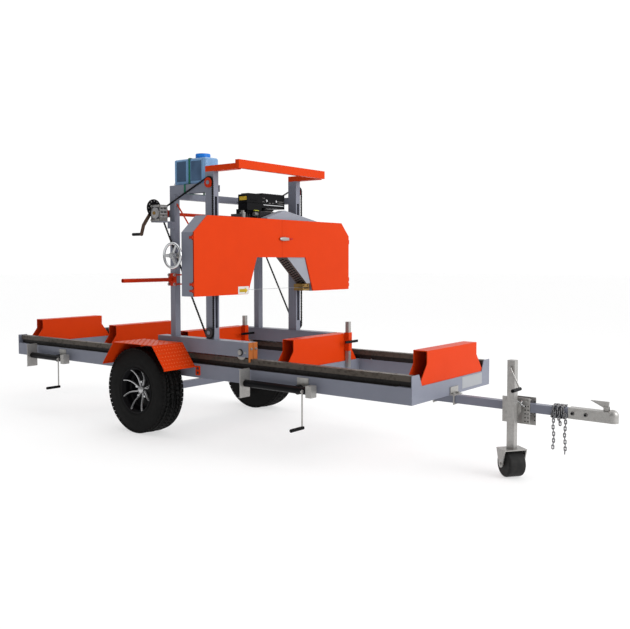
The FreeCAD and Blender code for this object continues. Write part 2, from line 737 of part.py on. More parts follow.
def tongue_parts():
    """Build the tongue, its clamps, the coupler with its latch, and the safety chains."""
    half = TONGUE / 2
    z1 = BEAM_BASE
    z0 = z1 - TONGUE
    tube = tube_box(TONGUE_REAR, TONGUE_FRONT, -half, half, z0, z1, TONGUE_WALL, "x")
    clamps = []
    leg = half + UBOLT_R + SEAT_GAP
    for base, out in ((0.0, 1), (-MEMBER_WIDTH, -1)):
        plate = box(*sorted((base, base + out * CLAMP_PLATE)), -CLAMP_HALF, CLAMP_HALF, z1,
                    z1 + CLAMP_THICK)
        wall = box(*sorted((base, base + out * CLAMP_THICK)), -CLAMP_HALF, CLAMP_HALF, z1,
                   z1 + CLAMP_HALF)
        x = base + out * CLAMP_X
        bolt = u_bolt(x, 0.0, leg, z0 - UBOLT_R - SEAT_GAP, z1 + CLAMP_THICK + NUT_H)
        nuts = [rod((x, side * leg, z1 + CLAMP_THICK), (x, side * leg, z1 + CLAMP_THICK + NUT_H), NUT_R)
                for side in SIDES]
        clamps.append(fuse([plate, wall, bolt] + nuts))
    body = box(COUPLER_REAR, BALL_X, -half - COUPLER_WALL, half + COUPLER_WALL, z0 - COUPLER_DROP,
               z1 + COUPLER_WALL)
    body = body.cut(box(COUPLER_REAR, TONGUE_FRONT, -half, half, z0 - COUPLER_DROP, z1))
    body = body.cut(box(TONGUE_FRONT, BALL_X, -half, half, z0 - COUPLER_DROP, z1 - COUPLER_WALL))
    shell = BALL_R + BALL_SHELL
    dome = Part.makeSphere(shell, V(BALL_X, 0, BALL_Z)).cut(
        box(BALL_X - shell, BALL_X + shell, -shell, shell, z0 - BALL_R * 2, z0 - COUPLER_DROP))
    skirt = rod((BALL_X, 0, z0 - COUPLER_DROP), (BALL_X, 0, BALL_Z), shell)
    body = fuse([body, skirt, dome])
    socket = Part.makeSphere(BALL_R + RUN_GAP, V(BALL_X, 0, BALL_Z))
    mouth = rod((BALL_X, 0, z0 - BALL_R), (BALL_X, 0, BALL_Z), BALL_R + RUN_GAP)
    body = body.cut(socket).cut(mouth)
    latch_z = z1 + COUPLER_WALL + LATCH_RISE / 2
    ears = []
    for side in SIDES:
        y = side * (LATCH_THICK / 2 + SEAT_GAP)
        ears.append(box(LATCH_X - LATCH_THICK, LATCH_X + LATCH_THICK, *sorted((y, y + side * EAR_PLATE)),
                        z1 + COUPLER_WALL - EAR_PLATE, latch_z + LATCH_THICK / 2))
    pin = rod((LATCH_X, -LATCH_THICK / 2 - SEAT_GAP - EAR_PLATE, latch_z),
              (LATCH_X, LATCH_THICK / 2 + SEAT_GAP + EAR_PLATE, latch_z), LATCH_PIN_R)
    bolts = [rod((COUPLER_REAR + (number + 0.33) * LATCH_LENGTH * 0.85, -half - COUPLER_WALL - NUT_H,
                  z0 + half),
                 (COUPLER_REAR + (number + 0.33) * LATCH_LENGTH * 0.85, half + COUPLER_WALL + NUT_H,
                  z0 + half), NUT_R) for number in range(2)]
    coupler = fuse([body, pin] + ears)
    tube = tube.cut(group(bolts))
    coupler = fuse([coupler] + bolts)
    tip = latch_z + LATCH_TALL
    outline = [(LATCH_X - LATCH_LENGTH, tip), (LATCH_X + LATCH_THICK, tip),
               (LATCH_X + LATCH_THICK * 0.8, latch_z), (LATCH_X + LATCH_PIN_R, latch_z - LATCH_PIN_R * 2),
               (LATCH_X - LATCH_PIN_R, latch_z - LATCH_PIN_R * 2), (LATCH_X - LATCH_THICK, latch_z)]
    latch = prism(outline, "y", -LATCH_THICK / 2, LATCH_THICK / 2).cut(
        rod((LATCH_X, -LATCH_THICK, latch_z), (LATCH_X, LATCH_THICK, latch_z), LATCH_PIN_R + RUN_GAP))
    chains = []
    for x, count in zip(CHAIN_XS, CHAIN_LINKS):
        outer = half + SEAT_GAP + WRAP_THICK
        wrap = box(x - WRAP_WIDTH / 2, x + WRAP_WIDTH / 2, -outer, outer, z0 - SEAT_GAP - WRAP_THICK,
                   z1 + SEAT_GAP + WRAP_THICK)
        wrap = wrap.cut(box(x - WRAP_WIDTH, x + WRAP_WIDTH, -half - SEAT_GAP, half + SEAT_GAP,
                            z0 - SEAT_GAP, z1 + SEAT_GAP))
        chains.append(wrap)
        y = -outer - LINK_WIRE
        pitch = LINK_LENGTH - LINK_WIRE * 2
        for number in range(count):
            z = z0 + half / 2 - number * pitch
            link = chain_link(number % 2 == 0)
            link.translate(V(x, y, z))
            chains.append(link)
    return {"tongue_tube": tube, "clamps": clamps, "coupler": coupler, "coupler_latch": latch,
            "safety_chains": group(chains)}


def chain_link(turned):
    """Give one oval chain link that stands upright, turned a quarter when asked."""
    radius = LINK_WIDTH / 2
    straight = LINK_LENGTH / 2 - radius
    outer = fuse([rod((0, -LINK_WIRE / 2, straight), (0, LINK_WIRE / 2, straight), radius),
                  rod((0, -LINK_WIRE / 2, -straight), (0, LINK_WIRE / 2, -straight), radius),
                  box(-radius, radius, -LINK_WIRE / 2, LINK_WIRE / 2, -straight, straight)])
    hole = radius - LINK_WIRE
    inner = fuse([rod((0, -LINK_WIRE, straight), (0, LINK_WIRE, straight), hole),
                  rod((0, -LINK_WIRE, -straight), (0, LINK_WIRE, -straight), hole),
                  box(-hole, hole, -LINK_WIRE, LINK_WIRE, -straight, straight)])
    link = outer.cut(inner)
    if turned:
        link.rotate(V(0, 0, 0), Z_AXIS, 90)
    return link


def front_jack(clamps):
    """Build the caster jack on the tongue and its clamp plates."""
    half = TONGUE / 2
    plates = [box(PLATE_REAR, PLATE_FRONT, -half - PLATE_THICK, -half, PLATE_BASE, PLATE_TOP),
              box(PLATE_REAR + PLATE_SHIFT, PLATE_FRONT + PLATE_SHIFT, half, half + PLATE_THICK,
                  PLATE_BASE - PLATE_THICK * 2, PLATE_TOP)]
    for x in (PLATE_REAR + PLATE_SHIFT + PLATE_BOLT_INSET, PLATE_FRONT - PLATE_BOLT_INSET):
        for z in (BEAM_BASE - TONGUE - PLATE_BOLT_INSET, BEAM_BASE + PLATE_BOLT_INSET):
            plates.append(rod((x, -half - PLATE_THICK - NUT_H, z), (x, half + PLATE_THICK + NUT_H, z),
                              PLATE_BOLT_R))
    face = MAST_Y + MAST / 2 + SWIVEL_THICK + SEAT_GAP
    plates.append(rod((MAST_X, face, MAST_PIVOT_Z), (MAST_X, -half, MAST_PIVOT_Z), BOSS_R))
    clamps.append(fuse(plates))
    hm = MAST / 2
    mast = tube_box(MAST_X - hm, MAST_X + hm, MAST_Y - hm, MAST_Y + hm, MAST_BASE, MAST_TOP, MAST_WALL, "z")
    disc = rod((MAST_X, MAST_Y + hm, MAST_PIVOT_Z), (MAST_X, face - SEAT_GAP, MAST_PIVOT_Z), SWIVEL_R)
    collar = box(MAST_X - hm, MAST_X + hm, MAST_Y - hm, MAST_Y + hm, MAST_BASE, MAST_BASE + COLLAR_H)
    collar = collar.cut(rod((MAST_X, MAST_Y, MAST_BASE), (MAST_X, MAST_Y, MAST_BASE + COLLAR_H),
                            LEG_R + RUN_GAP))
    lid = box(MAST_X - hm, MAST_X + hm, MAST_Y - hm, MAST_Y + hm, MAST_TOP - MAST_WALL, MAST_TOP)
    holder = box(MAST_X - hm, MAST_X + hm, MAST_Y - hm, MAST_Y + hm, JCRANK_Z - MAST,
                 JCRANK_Z - MAST + COLLAR_H)
    screw = rod((MAST_X, MAST_Y, MAST_BASE + MAST), (MAST_X, MAST_Y, JCRANK_Z - MAST), SCREW_R)
    mast = fuse([mast, disc, collar, lid, holder, screw]).cut(
        rod((MAST_X, MAST_Y - MAST, JCRANK_Z), (MAST_X, MAST_Y, JCRANK_Z), JCRANK_R + RUN_GAP))
    leg = pipe((MAST_X, MAST_Y, MAST_BASE - SEAT_GAP), (MAST_X, MAST_Y, LEG_TOP), LEG_R, LEG_R - LEG_BORE)
    out = MAST_Y - hm - JCRANK_OUT
    gx, gz = MAST_X + JCRANK_DX, JCRANK_Z + JCRANK_DZ
    crank = fuse([rod((MAST_X, MAST_Y, JCRANK_Z), (MAST_X, out - JCRANK_R, JCRANK_Z), JCRANK_R),
                  rod((MAST_X, out, JCRANK_Z), (gx, out, gz), JCRANK_R * 0.85),
                  rod((gx, out + JCRANK_R, gz), (gx, out - JGRIP_LENGTH, gz), JGRIP_R)])
    top = MAST_BASE - SEAT_GAP
    width = JWHEEL_WIDTH / 2 + JWHEEL_GAP
    fork = [box(-FORK_WIDTH / 2, FORK_WIDTH / 2, -width - FORK_PLATE, width + FORK_PLATE,
                top - FORK_PLATE, top)]
    leg_side = [(-FORK_WIDTH / 2, top), (FORK_WIDTH / 2, top), (FORK_TIP / 2, JWHEEL_R),
                (-FORK_TIP / 2, JWHEEL_R)]
    for side in SIDES:
        ys = sorted((side * width, side * (width + FORK_PLATE)))
        fork.append(prism(leg_side, "y", *ys))
        fork.append(rod((0, ys[0], JWHEEL_R), (0, ys[1], JWHEEL_R), FORK_TIP / 2))
    fork.append(rod((0, -width - FORK_PLATE * 2, JWHEEL_R), (0, width + FORK_PLATE * 2, JWHEEL_R),
                    JWHEEL_BORE))
    fork = fuse(fork)
    wheel = rod((0, -JWHEEL_WIDTH / 2, JWHEEL_R), (0, JWHEEL_WIDTH / 2, JWHEEL_R), JWHEEL_R)
    wheel = wheel.makeFillet(JWHEEL_R / 6, [e for e in wheel.Edges if e.Curve.TypeId == "Part::GeomCircle"])
    wheel = wheel.cut(rod((0, -JWHEEL_WIDTH, JWHEEL_R), (0, JWHEEL_WIDTH, JWHEEL_R), JWHEEL_BORE + RUN_GAP))
    for shape in (fork, wheel):
        shape.rotate(V(0, 0, 0), Z_AXIS, FORK_TURN)
        shape.translate(V(MAST_X, MAST_Y, 0))
    return {"front_jack_mast": mast, "front_jack_leg": leg, "front_jack_crank": crank,
            "front_jack_fork": fork, "front_jack_wheel": wheel}


def side_jacks(clamps):
    """Build the two stowed corner jacks and their pivots on the near side beam."""
    face = -FRAME_WIDTH / 2
    y = face - JACK_OUT
    pieces = {}
    for number, (pivot, head, foot) in enumerate(zip(JACK_PIVOTS, JACK_HEADS, JACK_FEET), start=1):
        middle = BEAM_BASE + BEAM_HEIGHT / 2
        flange = box(pivot - JACK_FLANGE_W / 2, pivot + JACK_FLANGE_W / 2, face - SWIVEL_THICK, face,
                     middle - JACK_FLANGE_H / 2, middle + JACK_FLANGE_H / 2)
        pin = rod((pivot, face, JACK_Z), (pivot, y + JACK_R + SWIVEL_THICK + SEAT_GAP, JACK_Z), JACK_PIN_R)
        clamps.append(fuse([flange, pin]))
        rear, inner = foot + JACK_FOOT_GAP, head - JACK_BARREL
        start, end = head + JACK_BOX_START, head + JACK_BOX_END
        barrel = pipe((rear, y, JACK_Z), (start, y, JACK_Z), JACK_R, JACK_WALL)
        hw, hh = JACK_BOX_W / 2, JACK_BOX_H / 2
        case = box(start, end, y - hw, y + hw, JACK_Z - hh, JACK_Z + hh)
        hollow = box(start + JACK_WALL, end - JACK_WALL, y - hw + JACK_WALL, y + hw - JACK_WALL,
                     JACK_Z - hh + JACK_WALL, JACK_Z + hh - JACK_WALL)
        pad = rod((pivot, y, JACK_Z), (pivot, y + JACK_R + SWIVEL_THICK, JACK_Z), JACK_PAD_R)
        pad = pad.cut(rod((rear, y, JACK_Z), (head, y, JACK_Z), JACK_R - JACK_WALL))
        screw = rod((inner + JACK_ARM / 3, y, JACK_Z), (head - JACK_R, y, JACK_Z), JACK_SCREW_R)
        seat = rod((head - JACK_R, y, JACK_Z), (head - JACK_R / 2, y, JACK_Z), JACK_R - JACK_WALL / 2)
        shaft = rod((head, y - JACK_BOX_W, JACK_Z), (head, y, JACK_Z), JACK_GRIP_R * 0.6 + RUN_GAP)
        pieces["side_jack_%d_tube" % number] = fuse([barrel, case.cut(hollow), pad, screw, seat]).cut(shaft)
        leg = pipe((foot, y, JACK_Z), (inner + JACK_LEG_INSIDE, y, JACK_Z), JACK_LEG_R, JACK_LEG_WALL)
        plate = box(foot - JACK_FOOT_THICK, foot, y - JACK_FOOT_W / 2, y + JACK_FOOT_W / 2,
                    JACK_Z - JACK_FOOT_H / 2, JACK_Z + JACK_FOOT_H / 2)
        lips = [box(foot - JACK_FOOT_LIP, foot, y - JACK_FOOT_W / 2, y + JACK_FOOT_W / 2,
                    *sorted((JACK_Z + side * JACK_FOOT_H / 2,
                             JACK_Z + side * (JACK_FOOT_H / 2 - JACK_WALL))))
                for side in SIDES]
        pieces["side_jack_%d_leg" % number] = fuse([leg, plate] + lips)
        out = y - hw - JACK_ARM_R
        low = JACK_Z - JACK_ARM
        pieces["side_jack_%d_crank" % number] = fuse([
            rod((head, y, JACK_Z), (head, out - JACK_GRIP_R, JACK_Z), JACK_GRIP_R * 0.6),
            rod((head, out, JACK_Z + JACK_GRIP_R), (head, out, low), JACK_ARM_R),
            rod((head, out + JACK_GRIP_R, low), (head, out - JACK_GRIP_LENGTH, low), JACK_GRIP_R)])
    return pieces


def carriage():
    """Build the rolling carriage: beams, posts, ties, tank tray and roof bar."""
    beams, posts, pieces = [], [], {}
    wheels = {"track_wheels_front": [], "track_wheels_rear": []}
    wipers = []
    axle_z = BEAM_BASE + BEAM_HEIGHT + RAIL_LIFT + RAIL_HEAD + TRACK_R + SEAT_GAP
    half = FRAME_WIDTH / 2
    for side in SIDES:
        ys = sorted((side * CAR_BEAM_IN, side * CAR_BEAM_OUT))
        beam = box(CAR_REAR, CAR_FRONT, *ys, CAR_BASE, CAR_TOP)
        beam = beam.cut(box(CAR_REAR, CAR_FRONT, ys[0] + CAR_WALL, ys[1] - CAR_WALL, CAR_BASE,
                            CAR_TOP - CAR_WALL))
        middle = side * (half - RAIL_INSET - RAIL_WIDTH / 2)
        for x, name in zip(TRACK_AXLES, wheels):
            pin = rod((x, side * CAR_BEAM_IN, axle_z), (x, side * (CAR_BEAM_OUT + TRACK_NUT_H), axle_z),
                      TRACK_PIN_R)
            nut = rod((x, side * CAR_BEAM_OUT, axle_z), (x, side * (CAR_BEAM_OUT + TRACK_NUT_H), axle_z),
                      TRACK_NUT_R)
            beam = fuse([beam, pin, nut])
            tread = TRACK_TREAD / 2
            edge = tread + TRACK_FLANGE_W
            discs = [rod((x, middle - tread, axle_z), (x, middle + tread, axle_z), TRACK_R)]
            discs += [rod((x, middle + end * tread, axle_z), (x, middle + end * edge, axle_z),
                          TRACK_R + TRACK_FLANGE) for end in SIDES]
            bore = rod((x, middle - half, axle_z), (x, middle + half, axle_z), TRACK_PIN_R + RUN_GAP)
            wheels[name] += [disc.cut(bore) for disc in discs]
        beams.append(beam)
        rail_top = axle_z - TRACK_R - SEAT_GAP
        for low, high in ((ys[0], middle - WIPER_GAP / 2), (middle + WIPER_GAP / 2, ys[1])):
            outer = low if low == ys[0] else high
            plate = box(CAR_FRONT, CAR_FRONT + WIPER_THICK, low, high, rail_top + WIPER_CLEAR, CAR_TOP)
            lip = box(CAR_FRONT, CAR_FRONT + WIPER_THICK, *sorted((outer, outer + math.copysign(
                (CAR_BEAM_OUT - CAR_BEAM_IN - RAIL_WIDTH) / 2 - WIPER_CLEAR * 3, middle - outer))),
                rail_top - TRACK_R / 2, rail_top + WIPER_CLEAR)
            bolt = rod((CAR_FRONT, (low + high) / 2, CAR_TOP - TRACK_R),
                       (CAR_FRONT + WIPER_THICK * 2, (low + high) / 2, CAR_TOP - TRACK_R), TRACK_PIN_R)
            wipers.append(fuse([plate, lip, bolt]))
        y0, y1 = side * POST_Y - POST_WIDTH / 2, side * POST_Y + POST_WIDTH / 2
        slot_post = tube_box(SLOT_POST_REAR, SLOT_POST_FRONT, y0, y1, CAR_TOP, SLOT_POST_TOP, POST_WALL,
                             "z")
        slot_post = slot_post.cut(box(SLOT_POST_FRONT - POST_WALL, SLOT_POST_FRONT,
                                      side * POST_Y - SLOT_WIDTH / 2,
                                      side * POST_Y + SLOT_WIDTH / 2, SLOT_BASE, SLOT_TOP))
        back_front = BACK_POST_REAR + POST_WIDTH
        posts.append(tube_box(BACK_POST_REAR, back_front, y0, y1, CAR_TOP, BACK_POST_TOP, POST_WALL, "z"))
        for z in (SPROCKET_TOP_Z, SPROCKET_LOW_Z):
            face = side * (POST_Y + POST_WIDTH / 2)
            tip = side * (CHAIN_Y + CHAIN_WIDTH / 2 + SPROCKET_FACE)
            slot_post = fuse([slot_post, rod((SPROCKET_X, face, z), (SPROCKET_X, tip, z), STUB_R),
                              rod((SPROCKET_X, tip + side * SEAT_GAP, z),
                                  (SPROCKET_X, tip + side * SPROCKET_FACE, z),
                                  STUB_HEAD_R),
                              rod((SPROCKET_X, tip, z), (SPROCKET_X, tip + side * SEAT_GAP, z), STUB_R)])
        posts.append(slot_post)
        posts.append(rod((back_front, side * POST_Y, BRACE_TOP_Z),
                         (SLOT_POST_REAR, side * POST_Y, BRACE_FOOT_Z), BRACE_R))
        bearing = box(LIFT_X - LIFT_R * 2, BACK_POST_REAR, side * POST_Y - BEARING_LENGTH / 2,
                      side * POST_Y + BEARING_LENGTH / 2, LIFT_Z - LIFT_R * 2, LIFT_Z + LIFT_R * 2)
        posts.append(bearing.cut(rod((LIFT_X, side * POST_Y - BEARING_LENGTH, LIFT_Z),
                                     (LIFT_X, side * POST_Y + BEARING_LENGTH, LIFT_Z), LIFT_R + RUN_GAP)))
        posts.append(tube_box(SLOT_POST_REAR, ROOF_BAR_REAR, y0, y1, SLOT_POST_TOP,
                              SLOT_POST_TOP + ROOF_ARM_H,
                              POST_WALL, "x"))
    back_front = BACK_POST_REAR + POST_WIDTH
    inner = POST_Y - POST_WIDTH / 2
    tie_base = BACK_POST_TOP - POST_WIDTH
    posts.append(tube_box(BACK_POST_REAR, back_front, -inner, inner, tie_base, BACK_POST_TOP, POST_WALL,
                          "y"))
    posts.append(tube_box(back_front, SLOT_POST_REAR, inner, inner + POST_WIDTH, tie_base, BACK_POST_TOP,
                          POST_WALL, "x"))
    near = -POST_Y - POST_WIDTH / 2
    skirt = [(BACK_POST_REAR, TANK_BASE), (BACK_POST_REAR, BACK_POST_TOP), (back_front, BACK_POST_TOP),
             (back_front, TRAY_LIP_Z), (SLOT_POST_REAR, TRAY_LIP_Z), (SLOT_POST_REAR, TANK_BASE)]
    tray = [prism(skirt, "y", near, near + TRAY_THICK),
            box(BACK_POST_REAR, TANK_FRONT, near, TRAY_FAR, TANK_BASE - TRAY_THICK, TANK_BASE),
            box(BACK_POST_REAR, TANK_FRONT, TRAY_FAR - TRAY_THICK, TRAY_FAR, BACK_POST_TOP, TANK_BASE)]
    posts.append(fuse(tray))
    block = box(BACK_POST_REAR, back_front, GBOX_FAR + BRACKET_THICK, near, GBOX_BASE - POST_WIDTH,
                GBOX_BASE - BRACKET_THICK / 6)
    shelf = box(GBOX_REAR, back_front, GBOX_NEAR, GBOX_FAR + BRACKET_THICK, GBOX_BASE - BRACKET_THICK,
                GBOX_BASE)
    posts.append(fuse([block, shelf]))
    roof = tube_box(ROOF_BAR_REAR, ROOF_BAR_FRONT, ROOF_NEAR, ROOF_FAR, ROOF_BAR_BASE, ROOF_BAR_TOP,
                    ROOF_WALL, "y")
    pieces["carriage_beams"] = group(beams + wipers)
    pieces["carriage_posts"] = group(posts)
    pieces["roof_bar"] = roof
    for name, shapes in wheels.items():
        pieces[name] = group(shapes)
    return pieces


def water_tank():
    """Build the hollow water tank with its tap, and its cap."""
    tank = box(TANK_REAR, TANK_FRONT, TANK_NEAR, TANK_FAR, TANK_BASE, TANK_TOP)
    tank = tank.makeFillet(TANK_ROUND, tank.Edges)
    hollow = box(TANK_REAR + TANK_WALL, TANK_FRONT - TANK_WALL, TANK_NEAR + TANK_WALL, TANK_FAR - TANK_WALL,
                 TANK_BASE + TANK_WALL, TANK_TOP - TANK_WALL)
    hollow = hollow.makeFillet(TANK_ROUND - TANK_WALL, hollow.Edges)
    y = (TANK_NEAR + TANK_FAR) / 2
    neck = rod((TANK_CAP_X, y, TANK_TOP - TANK_WALL), (TANK_CAP_X, y, TANK_TOP + TANK_NECK_H), TANK_NECK_R)
    mouth = rod((TANK_CAP_X, y, TANK_TOP - TANK_WALL * 2), (TANK_CAP_X, y, TANK_TOP + TANK_NECK_H),
                TANK_NECK_R - TANK_WALL)
    tap = rod((TANK_REAR + TANK_WALL, TAP_Y, TAP_Z), (TANK_REAR - TAP_LENGTH, TAP_Y, TAP_Z), TAP_R)
    grip = rod((TANK_REAR - TAP_LENGTH / 2, TAP_Y, TAP_Z),
               (TANK_REAR - TAP_LENGTH / 2, TAP_Y, TAP_Z + TAP_LENGTH), TAP_R / 2)
    tank = fuse([tank.cut(hollow), neck, tap, grip]).cut(mouth)
    base = TANK_TOP + SEAT_GAP
    cap = rod((TANK_CAP_X, y, base), (TANK_CAP_X, y, base + TANK_CAP_H), TANK_CAP_R)
    inside = rod((TANK_CAP_X, y, base), (TANK_CAP_X, y, TANK_TOP + TANK_NECK_H + SEAT_GAP),
                 TANK_NECK_R + SEAT_GAP)
    return {"water_tank": tank, "tank_cap": cap.cut(inside)}


def push_handle():
    """Build the push handle with the plate and U bolts that clamp it to a post."""
    near = -POST_Y - POST_WIDTH / 2
    middle = BACK_POST_REAR + POST_WIDTH / 2
    face = near - HANDLE_PLATE_T
    shapes = [box(middle - HANDLE_PLATE_W / 2, middle + HANDLE_PLATE_W / 2, face, near,
                  HANDLE_Z - HANDLE_PLATE_H / 2, HANDLE_Z + HANDLE_PLATE_H / 2),
              pipe((middle, face, HANDLE_Z), (middle, HANDLE_TIP, HANDLE_Z), HANDLE_R, HANDLE_WALL)]
    x = POST_WIDTH / 2 + SEAT_GAP + UBOLT_R
    back = near + POST_WIDTH + SEAT_GAP + UBOLT_R
    for z in (HANDLE_Z - HANDLE_UBOLT_DZ, HANDLE_Z + HANDLE_UBOLT_DZ):
        for side in SIDES:
            shapes.append(rod((middle + side * x, face - NUT_H, z), (middle + side * x, back + UBOLT_R, z),
                              UBOLT_R))
            shapes.append(rod((middle + side * x, face - NUT_H, z), (middle + side * x, face, z), NUT_R))
        shapes.append(rod((middle - x, back, z), (middle + x, back, z), UBOLT_R))
    return {"push_handle": fuse(shapes)}


def lift_drive():
    """Build the lift shaft with its worm wheel and sprockets, the worm box, its crank and the chains."""
    tip = CHAIN_Y + CHAIN_WIDTH / 2
    shaft = [rod((LIFT_X, GBOX_NEAR + GBOX_WALL, LIFT_Z), (LIFT_X, tip + SPROCKET_FACE, LIFT_Z), LIFT_R)]
    for side in SIDES:
        shaft.append(rod((LIFT_X, side * (CHAIN_Y - CHAIN_WIDTH / 2), LIFT_Z), (LIFT_X, side * tip, LIFT_Z),
                         LARGE_R - CHAIN_THICK / 2 - SEAT_GAP))
    worm_half = WORM_WHEEL_W / 2
    shaft.append(rod((LIFT_X, WORM_WHEEL_Y - worm_half, LIFT_Z), (LIFT_X, WORM_WHEEL_Y + worm_half, LIFT_Z),
                     WORM_RISE - WORM_R - SEAT_GAP))
    shell = box(GBOX_REAR, GBOX_FRONT, GBOX_NEAR, GBOX_FAR, GBOX_BASE, GBOX_TOP)
    shell = shell.cut(box(GBOX_REAR + GBOX_WALL, GBOX_FRONT - GBOX_WALL, GBOX_NEAR + GBOX_WALL,
                          GBOX_FAR - GBOX_WALL, GBOX_BASE + GBOX_WALL, GBOX_TOP - GBOX_WALL / 2))
    shell = shell.cut(rod((LIFT_X, GBOX_NEAR + GBOX_WALL / 2, LIFT_Z), (LIFT_X, GBOX_FAR, LIFT_Z),
                          LIFT_R + RUN_GAP))
    worm_z = LIFT_Z + WORM_RISE
    shell = shell.cut(rod((GBOX_REAR, WORM_WHEEL_Y, worm_z), (LIFT_X, WORM_WHEEL_Y, worm_z),
                          CRANK_SHAFT_R + RUN_GAP))
    plug = rod((LIFT_X, GBOX_NEAR, LIFT_Z), (LIFT_X, GBOX_NEAR - BRACKET_THICK, LIFT_Z), LIFT_R)
    boss = rod((LIFT_X, GBOX_NEAR, LIFT_Z), (LIFT_X, GBOX_NEAR - BRACKET_THICK / 2, LIFT_Z), LIFT_R * 2.5)
    crank_x = GBOX_REAR - INDEX_THICK
    bar_x = crank_x - INDEX_THICK
    y, z = WORM_WHEEL_Y, worm_z
    elbow = (y + CRANK_ELBOW[0], z + CRANK_ELBOW[1])
    end = (y + CRANK_END[0], z + CRANK_END[1])
    crank = [rod((LIFT_X + WORM_LENGTH / 2, y, z), (LIFT_X - WORM_LENGTH / 2, y, z), WORM_R - SEAT_GAP),
             rod((LIFT_X, y, z), (bar_x - CRANK_BAR_T, y, z), CRANK_SHAFT_R),
             rod((crank_x, y, z), (bar_x, y, z), INDEX_R)]
    for start, stop in (((y, z), elbow), (elbow, end)):
        crank.append(flat_bar(start, stop, CRANK_BAR_W, bar_x - CRANK_BAR_T, bar_x))
    grip = bar_x - CRANK_BAR_T
    crank.append(rod((grip, *end), (grip - CRANK_GRIP_LENGTH, *end), CRANK_GRIP_R))
    loop = [(SPROCKET_X, SPROCKET_TOP_Z, SMALL_R), (LIFT_X, LIFT_Z, LARGE_R),
            (SPROCKET_X, SPROCKET_LOW_Z, SMALL_R)]
    chains, tops, lows = [], [], []
    small = SMALL_R - CHAIN_THICK / 2 - SEAT_GAP
    for side in SIDES:
        ys = sorted((side * (CHAIN_Y - CHAIN_WIDTH / 2), side * tip))
        chains.append(belt(loop, -CHAIN_THICK / 2, CHAIN_THICK / 2, "y", *ys))
        for z_pin, list_of in ((SPROCKET_TOP_Z, tops), (SPROCKET_LOW_Z, lows)):
            disc = rod((SPROCKET_X, side * (CHAIN_Y - CHAIN_WIDTH / 2), z_pin),
                       (SPROCKET_X, side * tip, z_pin), small)
            face = rod((SPROCKET_X, side * (tip + SEAT_GAP), z_pin),
                       (SPROCKET_X, side * (tip + SPROCKET_FACE), z_pin),
                       SPROCKET_FACE_R)
            neck = rod((SPROCKET_X, side * tip, z_pin), (SPROCKET_X, side * (tip + SEAT_GAP), z_pin), small)
            bore = rod((SPROCKET_X, side * (CHAIN_Y - CHAIN_WIDTH), z_pin),
                       (SPROCKET_X, side * (tip + CHAIN_WIDTH), z_pin), STUB_R + RUN_GAP)
            list_of.append(fuse([disc, neck, face]).cut(bore))
    return {"lift_shaft": fuse(shaft), "winch_gearbox": fuse([shell, plug, boss]),
            "winch_crank": fuse(crank),
            "lift_chains": group(chains), "top_sprockets": group(tops), "bottom_sprockets": group(lows)}


def flat_bar(start, stop, width, x0, x1):
    """Give a flat bar with round ends between two (y, z) points."""
    span = math.hypot(stop[0] - start[0], stop[1] - start[1])
    ny, nz = (stop[1] - start[1]) / span, (start[0] - stop[0]) / span
    half = width / 2
    outline = [(start[0] + ny * half, start[1] + nz * half), (start[0] - ny * half, start[1] - nz * half),
               (stop[0] - ny * half, stop[1] - nz * half), (stop[0] + ny * half, stop[1] + nz * half)]
    return fuse([prism(outline, "x", x0, x1), rod((x0, *start), (x1, *start), half),
                 rod((x0, *stop), (x1, *stop), half)])


def pan_outline():
    """Give the outline of the saw head's back pan as (y, z) points."""
    return [(HEAD_NEAR, HEAD_BASE), (NOTCH_NEAR[0], HEAD_BASE), (NOTCH_NEAR[1], NOTCH_TOP), GUARD_SLANT[0],
            GUARD_SLANT[1], (GUARD_SLANT[1][0] + BAND_SHAFT_R * 3, GUARD_SLANT[1][1]),
            (NOTCH_FAR[0], HEAD_BASE),
            (HEAD_FAR, HEAD_BASE), (HEAD_FAR, FAR_CORNER[1]), (FAR_CORNER[0], HEAD_TOP),
            (NEAR_CORNER[0], HEAD_TOP),
            (HEAD_NEAR, NEAR_CORNER[1])]


def hinge_parts(y, side):
    """Give the fixed barrels and the moving knuckles of one door's hinges."""
    x = HEAD_FRONT - HINGE_R
    axis_y = y + side * HINGE_R
    fixed, moving = [], []
    for low, high in HINGE_SPANS:
        step = (high - low) / 4
        barrel = rod((x, axis_y, low + step), (x, axis_y, high - step), HINGE_R - RUN_GAP * 10)
        leaf = box(x - HINGE_R * 6, x, *sorted((y, y + side * HINGE_R / 2)), low + step, high - step)
        hole = rod((x, axis_y, low), (x, axis_y, high), HINGE_R / 2 + RUN_GAP)
        fixed.append(fuse([barrel, leaf]).cut(hole))
        knuckles = [rod((x, axis_y, low), (x, axis_y, high), HINGE_R / 2)]
        for start, end in ((low, low + step - SEAT_GAP), (high - step + SEAT_GAP, high)):
            knuckles.append(rod((x, axis_y, start), (x, axis_y, end), HINGE_R - RUN_GAP * 10))
            knuckles.append(box(x, HEAD_FRONT, *sorted((axis_y, y - side * DOOR_SKIN)), start, end))
        moving.append(fuse(knuckles))
    return fixed, moving


